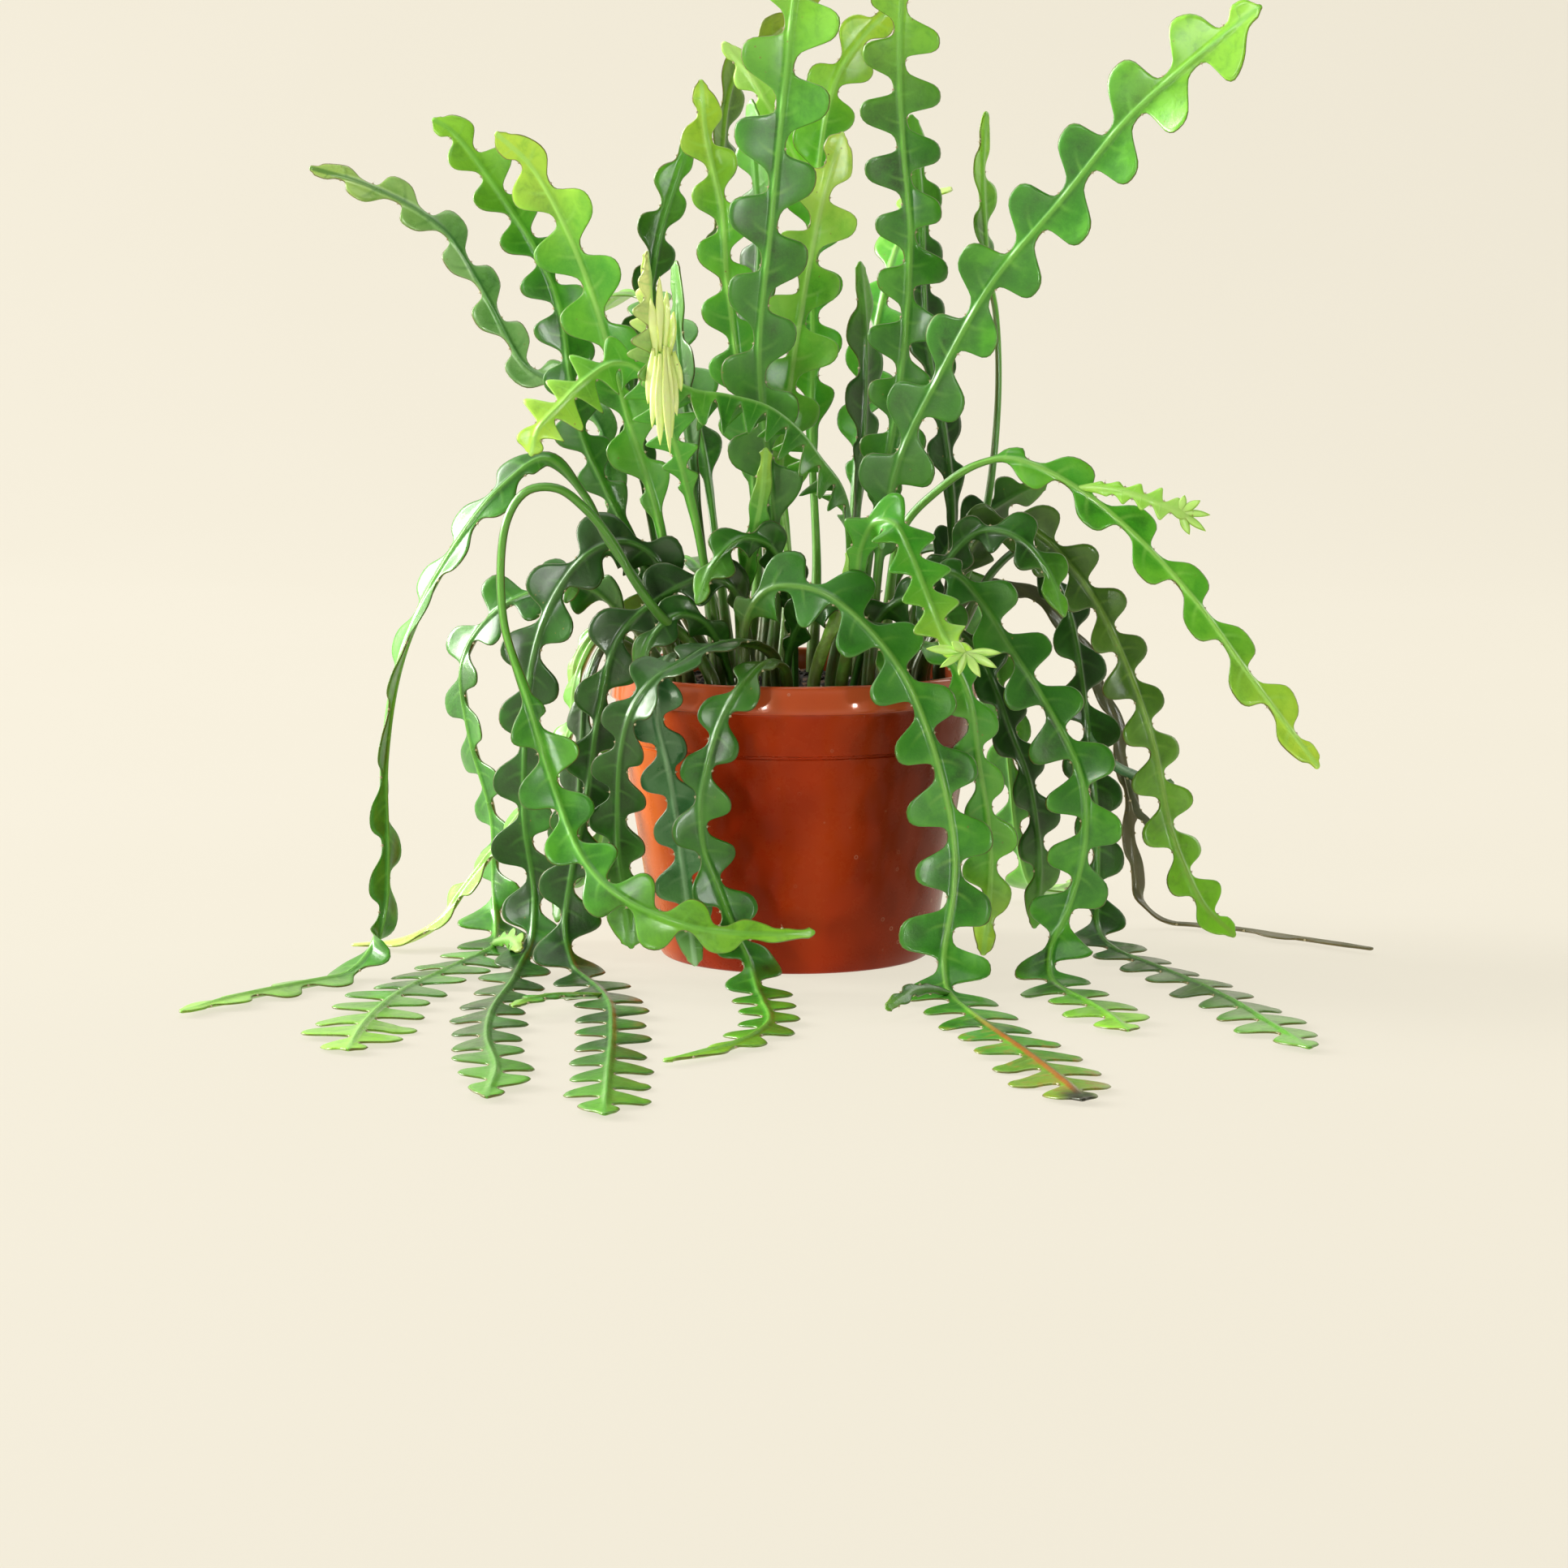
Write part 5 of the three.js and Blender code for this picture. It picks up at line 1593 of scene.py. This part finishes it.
TUFTS: tuple[FingerTuft, ...] = (
    FingerTuft(
        "comb_arch_tassel", Tone.CREAM, (-57.0, -101.5, 276.0),
        ((-4, -3, 24), (-1, -5, 33), (2, -3, 27), (5, -1, 18), (-6, -4, -21), (-4, -7, -31), (-1, -8, -38),
         (2, -8, -42), (4, -7, -35), (6, -4, -26), (8, -1, -16), (0, 2, -29)),
        half=2.1, sag=0.02, spread=0.6, point=0.8,
    ),
    FingerTuft(
        "front_shoot_star", Tone.NEW, (71.5, -126.5, 150.5),
        ((-17, -4, 4), (-11, -7, -4), (-3, -9, -7), (6, -8, -8), (13, -7, -4), (15, -4, 2), (-6, -3, 6)),
        half=1.9, point=0.9,
    ),
    FingerTuft(
        "right_shoot_star", Tone.NEW, (168.0, -57.0, 204.5),
        ((9, -3, 7), (13, -4, 1), (11, -5, -6), (4, -4, -8), (2, -1, 9)),
        half=1.8, point=0.9,
    ),
)


# ---------------------------------------------------------------- container
def turned_points(profile: Sequence[tuple[float, float]], sides: int) -> np.ndarray:
    """Turns a profile around the upright axis.

    Args:
        profile: Radius and height of each ring.
        sides: How many points a ring has.

    Returns:
        The points, one ring after another.
    """
    angle = np.arange(sides) * 2 * math.pi / sides
    rings = [np.stack([r * np.cos(angle), r * np.sin(angle), np.full(sides, z)], 1) for r, z in profile]
    return np.concatenate(rings)


def arc(
    centre: tuple[float, float], radius: float, start: float, end: float, steps: int
) -> list[tuple[float, float]]:
    """Points on a round corner of a profile.

    Args:
        centre: The corner's centre, as a radius and a height.
        radius: The corner's radius.
        start: The first angle, with 0 outwards and 90 up.
        end: The last angle.
        steps: How many points there are.

    Returns:
        The points, as radii and heights.
    """
    angles = np.radians(np.linspace(start, end, steps))
    return [(centre[0] + radius * math.cos(a), centre[1] + radius * math.sin(a)) for a in angles]


@dataclass
class Pot:
    """The moulded nursery pot: tapered wall, collar rim, groove, foot and drain holes.

    rim_lean is how far the collar narrows to its top, and oval and wavy are the shares by which the top is
    out of round.
    """

    height: float = 131.0
    base_radius: float = 60.0
    wall_foot: float = 63.0
    slope: float = 0.16
    wall: float = 2.0
    floor: float = 3.0
    recess: float = 0.9
    foot_round: float = 2.3
    rim_radius: float = 84.5
    rim_height: float = 12.6
    rim_lean: float = 0.9
    rim_round: float = 0.9
    groove: float = 99.0
    groove_depth: float = 0.8
    oval: float = 0.0016
    wavy: float = 0.0009
    sides: int = 176
    drain_holes: int = 6
    drain_radius: float = 4.5
    drain_circle: float = 40.0
    drill_sides: int = 20
    sharp_from: float = 40.0

    def wall_radius(self, z: float) -> float:
        """Outer radius of the wall at a height."""
        return self.wall_foot + self.slope * z

    def profile(self) -> list[tuple[float, float]]:
        """Radius and height of the whole section, from the underside's middle round to the floor's middle."""
        return self._outside() + self._collar() + self._inside()

    def _outside(self) -> list[tuple[float, float]]:
        """The section of the underside and the wall, up to the collar.

        Returns:
            Radii and heights.
        """
        rim_foot = self.height - self.rim_height
        w, groove = self.wall_radius, self.groove
        line = [(r, self.recess) for r in (20.0, 30.0, self.drain_circle, 50.0)]
        line += [(52.0, 0.7), (53.0, 0.0), (self.base_radius - 1.5, 0.0)]
        line += arc((self.base_radius - 0.6, 2.4), self.foot_round, -90, -12, 6)
        line += [(w(z), z) for z in (5, 9, 16, 26, 38, 50, 62, 74, 85, 93)]
        line += [(w(groove - 1.3), groove - 1.3), (w(groove - 0.9) - 0.1, groove - 0.9)]
        line += [(w(groove) - self.groove_depth, groove + step) for step in (-0.45, 0.0, 0.45)]
        line += [(w(groove + 0.9) + 0.12, groove + 0.9), (w(groove + 1.3) + 0.1, groove + 1.4)]
        line += [(w(z), z) for z in (103, 109, 114, rim_foot - 1.6)]
        return line + [(w(rim_foot) + 0.25, rim_foot - 0.25), (w(rim_foot) + 0.9, rim_foot)]

    def _collar(self) -> list[tuple[float, float]]:
        """The section of the collar, from its foot outside over the round lip to its foot inside.

        Returns:
            Radii and heights.
        """
        rim_foot = self.height - self.rim_height
        rim_in = self.rim_radius - 2 * self.wall
        rim_top = self.rim_radius - self.rim_lean
        lip = (rim_top - rim_in) / 2
        line = arc((self.rim_radius - self.rim_round, rim_foot + 1.0), self.rim_round, -80, 0, 5)
        for share in (0.0, 0.5, 1.0):
            z = mix(rim_foot + 1.6, self.height - 2.2, share)
            line.append((mix(self.rim_radius, rim_top, share), z))
        line += arc((rim_top - lip, self.height - lip), lip, 0, 180, 11)
        return line + [(rim_in + 0.05, self.height - 4.0), (rim_in - 0.1, self.height - 9.0)]

    def _inside(self) -> list[tuple[float, float]]:
        """The section of the wall's inner side and the floor.

        Returns:
            Radii and heights.
        """
        rim_foot = self.height - self.rim_height
        w, wall = self.wall_radius, self.wall
        line = [(w(rim_foot) - wall + 0.3, rim_foot + 0.8), (w(rim_foot) - wall, rim_foot - 0.8)]
        line += [(w(z) - wall, z) for z in (100, 75, 50, 25, 6)]
        return line + [(r, self.floor) for r in (w(self.floor) - wall - 1.2, 50.0, self.drain_circle, 20.0)]

    def build(self) -> bpy.types.Object:
        """Makes the shell and drills its drain holes.

        Returns:
            The new piece.
        """
        profile = self.profile()
        points = self._settled(turned_points(profile, self.sides))
        faces = ring_faces(len(profile), self.sides)
        pot = mesh_piece("pot_shell", points, faces, PotFinish().make())
        drill = self._drill()
        cut = pot.modifiers.new("drain_holes", "BOOLEAN")
        cut.object, cut.operation, cut.solver = drill, "DIFFERENCE", "EXACT"
        shaped = bpy.data.meshes.new_from_object(pot.evaluated_get(bpy.context.evaluated_depsgraph_get()))
        pot.modifiers.clear()
        pot.data = shaped
        bpy.data.objects.remove(drill)
        shaped.set_sharp_from_angle(angle=math.radians(self.sharp_from))
        return pot

    def _settled(self, points: np.ndarray) -> np.ndarray:
        """Bends the upper wall a very little out of round, as thin plastic is.

        Args:
            points: The points of the round pot.

        Returns:
            The moved points.
        """
        angle = np.arctan2(points[:, 1], points[:, 0])
        share = ease(points[:, 2] / self.height) ** 2
        size = 1 + share * (self.oval * np.sin(2 * angle + 0.6) + self.wavy * np.sin(5 * angle))
        return points * np.stack([size, size, np.ones_like(size)], 1)

    def _drill(self) -> bpy.types.Object:
        """The cylinders that cut the drain holes, as one object.

        Returns:
            The object, which is removed after use.
        """
        points, faces = [], []
        section = [(self.drain_radius, -self.floor), (self.drain_radius, self.floor + 5.0)]
        for hole in range(self.drain_holes):
            turn = (hole + 0.5) * 2 * math.pi / self.drain_holes
            spot = np.array([math.cos(turn), math.sin(turn), 0.0]) * self.drain_circle
            base = len(points) * len(section) * self.drill_sides
            points.append(turned_points(section, self.drill_sides) + spot)
            faces += [tuple(base + k for k in face) for face in ring_faces(len(section), self.drill_sides)]
        material = bpy.data.materials.new("drill")
        return mesh_piece("drill", np.concatenate(points), faces, material, smooth=False)

    def dress(self, piece: bpy.types.Object) -> None:
        """Stands for the plain pot.

        Args:
            piece: The built shell.
        """
        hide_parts("pot")
        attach(piece, "root")


@dataclass(frozen=True)
class Bits:
    """One kind of small rough bits, with their least and greatest radius and thickness over length."""

    name: str
    count: int
    size: tuple[float, float]
    flat: float
    finish: SoilFinish
    seed: int


SOIL_BITS: tuple[Bits, ...] = (
    Bits("soil_crumbs", 1300, (0.6, 2.1), 0.75, SoilFinish("soil_crumb", "120C08", "35271C"), 901),
    Bits("bark_chips", 150, (1.6, 4.2), 0.34, SoilFinish("bark_chip", "3A2416", "6B4A30", 400.0, 0.8), 902),
    Bits("perlite_grains", 90, (0.7, 1.7), 0.85, SoilFinish("perlite", "B9B4A6", "E4E0D4", 900.0), 903),
)


@dataclass
class Soil:
    """The potting soil: a lumpy top, with crumbs, bark and perlite lying in it.

    levels are the heights of the rings at the wall, and shake and grain are how far the top's points are
    moved aside and up or down. The bits are bit_rough out of round, roll by bit_roll and lie bit_rise of
    their radius above the soil.
    """

    pot: Pot
    top: float = SOIL_TOP
    mound: float = 3.0
    mound_from: float = 0.72
    lumpy: float = 0.8
    gap: float = 0.35
    levels: tuple[float, ...] = (3.4, 30.0, 60.0, 90.0, 112.0)
    rings: int = 64
    sides: int = 150
    shake: float = 0.28
    grain: float = 0.22
    bit_rough: float = 0.17
    bit_roll: float = 0.35
    bit_rise: float = 0.25

    def height(self, x: np.ndarray, y: np.ndarray) -> np.ndarray:
        """Height of the soil's lumpy top.

        Args:
            x: Places to the right.
            y: Places to the back.

        Returns:
            The heights.
        """
        out = np.hypot(x, y) / self.edge_radius()
        base = self.top - self.mound * ease((out - self.mound_from) / (1.0 - self.mound_from))
        lumps = 0.9 * np.sin(x / 7.3 + 1.1) * np.sin(y / 6.1 + 0.4)
        lumps += 0.7 * np.sin(x / 3.1 + y / 4.7) * np.sin(y / 2.9 - x / 9.0)
        lumps += 0.5 * np.sin(x / 1.7 + 2.0 * np.sin(y / 3.3)) * np.sin(y / 1.9 + 1.3 * np.sin(x / 4.1))
        return base + lumps * self.lumpy

    def edge_radius(self) -> float:
        """Radius of the soil where it meets the wall at the top."""
        return self.pot.wall_radius(self.top - self.mound) - self.pot.wall - self.gap

    def build(self) -> bpy.types.Object:
        """Makes the filled bed, down to the pot's floor.

        Returns:
            The new piece.
        """
        random = np.random.default_rng(SEED + 900)
        edge = self.edge_radius()
        foot = [(radius, self.levels[0]) for radius in (8.0, 40.0)]
        wall = [(self.pot.wall_radius(z) - self.pot.wall - self.gap - 0.1, z) for z in self.levels]
        top = [(float(radius), self.top) for radius in edge * np.linspace(0.997, 0.012, self.rings)]
        profile = [*foot, *wall, *top]
        points = turned_points(profile, self.sides)
        count = self.rings * self.sides
        upper = points[-count:]
        shake = random.normal(0.0, 1.0, (count, 2))
        size = np.hypot(upper[:, 0], upper[:, 1])[:, None]
        upper[:, :2] += shake * np.minimum(self.shake, size * 0.012)
        inside = np.minimum(1.0, edge / np.maximum(np.hypot(upper[:, 0], upper[:, 1]), TINY))
        upper[:, :2] *= inside[:, None]
        upper[:, 2] = self.height(upper[:, 0], upper[:, 1]) + random.normal(0.0, self.grain, count)
        faces = ring_faces(len(profile), self.sides)
        return mesh_piece("soil_bed", points, faces, SoilFinish("peat_soil", "0F0A07", "2A1E15").make())

    def scatter(self, bits: Bits) -> bpy.types.Object:
        """Lays small rough bits on the soil, all as one piece.

        Args:
            bits: The kind of bits.

        Returns:
            The new piece.
        """
        random = np.random.default_rng(SEED + bits.seed)
        shape = bmesh.new()
        bmesh.ops.create_icosphere(shape, subdivisions=1, radius=1.0)
        ball = np.array([v.co for v in shape.verts])
        sides = [[v.index for v in f.verts] for f in shape.faces]
        shape.free()
        points, faces = [], []
        for bit in range(bits.count):
            out = self.edge_radius() * 0.985 * math.sqrt(random.uniform())
            turn = random.uniform(0, 2 * math.pi)
            x, y = out * math.cos(turn), out * math.sin(turn)
            radius = random.uniform(*bits.size)
            rough = ball * (1 + random.normal(0, self.bit_rough, (len(ball), 1)))
            rough = rough * radius * (1.0, random.uniform(0.45, 1.0), bits.flat * random.uniform(0.7, 1.2))
            yaw, roll = random.uniform(0, 2 * math.pi), random.normal(0, self.bit_roll)
            c, s = math.cos(yaw), math.sin(yaw)
            spin = np.array([[c, -s, 0], [s, c, 0], [0, 0, 1]])
            c, s = math.cos(roll), math.sin(roll)
            tip = np.array([[1, 0, 0], [0, c, -s], [0, s, c]])
            rough = rough @ tip.T @ spin.T
            z = float(self.height(np.array([x]), np.array([y]))[0]) + self.bit_rise * radius * bits.flat
            reach = np.hypot(x, y) + radius
            pull = min(1.0, self.edge_radius() * 0.995 / reach)
            points.append(rough + (x * pull, y * pull, z))
            faces += [[k + bit * len(ball) for k in face] for face in sides]
        return mesh_piece(bits.name, np.concatenate(points), faces, bits.finish.make(), smooth=False)

    def dress(self, bed: bpy.types.Object, bits: Sequence[bpy.types.Object]) -> None:
        """Stands for the plain soil, and fixes the bits to it.

        Args:
            bed: The built soil.
            bits: The built bits.
        """
        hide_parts("soil")
        for piece in (bed, *bits):
            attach(piece, "root")


# ------------------------------------------------------------------- studio
@dataclass(frozen=True)
class SoftLight:
    """A rectangular studio light, with its place, aim and size in metres."""

    name: str
    place: tuple[float, float, float]
    aim: tuple[float, float, float]
    size: tuple[float, float]
    watts: float
    spread: float = 180.0

    def build(self) -> bpy.types.Object:
        """Hangs the light and points it at its aim.

        Returns:
            The lamp.
        """
        data = bpy.data.lights.new(self.name, "AREA")
        data.shape, data.size, data.size_y = "RECTANGLE", *self.size
        data.energy, data.spread = self.watts, math.radians(self.spread)
        lamp = bpy.data.objects.new(self.name, data)
        lamp.location = self.place
        way = np.array(self.aim) - np.array(self.place)
        flat = math.hypot(way[0], way[1])
        lamp.rotation_euler = (math.pi / 2 + math.atan2(way[2], flat), 0.0, math.atan2(-way[0], way[1]))
        lamp.visible_camera = False
        bpy.context.scene.collection.objects.link(lamp)
        return lamp


@dataclass
class Studio:
    """A pale floor that sweeps up behind, soft lights, and the camera, all in metres."""

    half_width: float = 60.0
    front: float = -60.0
    back: float = 3.4
    sweep: float = 1.6
    wall_height: float = 5.5
    sweep_steps: int = 24
    camera_place: tuple[float, float, float] = (-0.0052, -1.9, 0.34)
    camera_pitch: float = 7.88
    lens: float = 96.73
    sensor: float = 36.0
    world: tuple[float, float, float] = (1.0, 0.985, 0.95)
    world_strength: float = 0.06
    far: tuple[float, float, float] = (0.93, 0.87, 0.72)
    lights: tuple[SoftLight, ...] = (
        SoftLight("side_light", (-6.5, 2.0, 3.3), (0.0, 0.0, 0.2), (2.4, 4.4), 740.0),
        SoftLight("low_side_light", (-4.75, 0.25, 1.4), (0.0, 0.0, 0.1), (1.0, 1.5), 145.0),
        SoftLight("front_left_light", (-1.8, -2.6, 1.6), (0.0, 0.0, 0.2), (0.45, 0.8), 20.0),
        SoftLight("low_front_light", (-0.98, -2.95, 0.34), (0.0, 0.0, 0.2), (0.14, 0.32), 1.3, 60.0),
        SoftLight("low_right_light", (1.75, -2.45, 0.34), (0.0, 0.0, 0.2), (0.1, 0.32), 0.9, 60.0),
        SoftLight("top_light", (-0.2, 0.1, 2.4), (0.0, 0.0, 0.1), (2.4, 1.8), 24.0),
        SoftLight("right_back_light", (2.0, 0.9, 1.2), (0.0, 0.0, 0.2), (0.6, 1.2), 8.0),
        SoftLight("backdrop_light", (0.0, 1.3, 2.3), (0.0, 2.8, 0.1), (3.0, 0.8), 16.0),
    )

    def build_backdrop(self) -> bpy.types.Object:
        """Makes the floor with the curved sweep and the wall behind it.

        Returns:
            The new piece.
        """
        line = [(self.front, 0.0), (self.back - self.sweep, 0.0)]
        for k in range(1, self.sweep_steps + 1):
            a = math.pi / 2 * k / self.sweep_steps
            y = self.back - self.sweep + self.sweep * math.sin(a)
            line.append((y, self.sweep - self.sweep * math.cos(a)))
        line.append((self.back, self.wall_height))
        points = np.array([(x, y, z) for y, z in line for x in (-self.half_width, self.half_width)]) / MM
        faces = [(2 * k, 2 * k + 1, 2 * k + 3, 2 * k + 2) for k in range(len(line) - 1)]
        paper = mesh_piece("studio_floor", points, faces, StudioFinish().make())
        return paper

    def build_lights(self) -> list[bpy.types.Object]:
        """Hangs the lights, and sets the even light all round and the colour seen beyond the paper.

        Returns:
            The lamps.
        """
        world = bpy.data.worlds.new("studio_world")
        world.use_nodes = True
        tree = world.node_tree
        tree.nodes.clear()
        fill = tree.nodes.new("ShaderNodeBackground")
        fill.inputs["Color"].default_value = (*self.world, 1.0)
        fill.inputs["Strength"].default_value = self.world_strength
        far = tree.nodes.new("ShaderNodeBackground")
        far.inputs["Color"].default_value = (*self.far, 1.0)
        seen = tree.nodes.new("ShaderNodeLightPath")
        both = tree.nodes.new("ShaderNodeMixShader")
        tree.links.new(seen.outputs["Is Camera Ray"], both.inputs[0])
        tree.links.new(fill.outputs[0], both.inputs[1])
        tree.links.new(far.outputs[0], both.inputs[2])
        tree.links.new(both.outputs[0], tree.nodes.new("ShaderNodeOutputWorld").inputs["Surface"])
        bpy.context.scene.world = world
        bpy.context.scene.view_settings.view_transform = "Standard"
        return [light.build() for light in self.lights]

    def build_camera(self) -> bpy.types.Object:
        """Sets up the camera a little above the pot, looking slightly down.

        Returns:
            The camera.
        """
        data = bpy.data.cameras.new("camera")
        data.lens, data.sensor_width = self.lens, self.sensor
        camera = bpy.data.objects.new("camera", data)
        camera.location = self.camera_place
        camera.rotation_euler = (math.radians(90 - self.camera_pitch), 0.0, 0.0)
        bpy.context.scene.collection.objects.link(camera)
        bpy.context.scene.camera = camera
        return camera


# --------------------------------------------------------------------- main
def report(piece: bpy.types.Object) -> None:
    """Logs a piece's name and number of faces."""
    log.info("%-28s %6d faces", piece.name, len(piece.data.polygons))


def main() -> None:
    """Builds the studio, the pot with its soil, and every stem."""
    studio = Studio()
    studio.build_camera()
    studio.build_lights()
    report(studio.build_backdrop())

    pot = Pot()
    shell = pot.build()
    pot.dress(shell)
    report(shell)

    soil = Soil(pot)
    bed = soil.build()
    bits = [soil.scatter(kind) for kind in SOIL_BITS]
    soil.dress(bed, bits)
    for piece in (bed, *bits):
        report(piece)

    areoles: list[Areole] = []
    for number, plan in (*enumerate(STEMS), *enumerate(SIDE_SHOOTS, FIRST_SHOOT)):
        stem = Stem(plan, number)
        blade = stem.build()
        stem.dress(blade)
        areoles += stem.areoles
        report(blade)

    for tuft in TUFTS:
        fingers = tuft.build()
        tuft.dress(fingers)
        report(fingers)

    tufts = AreoleTufts()
    felt = tufts.build(areoles)
    tufts.dress(felt)
    report(felt)


if __name__ == "__main__":
    main()
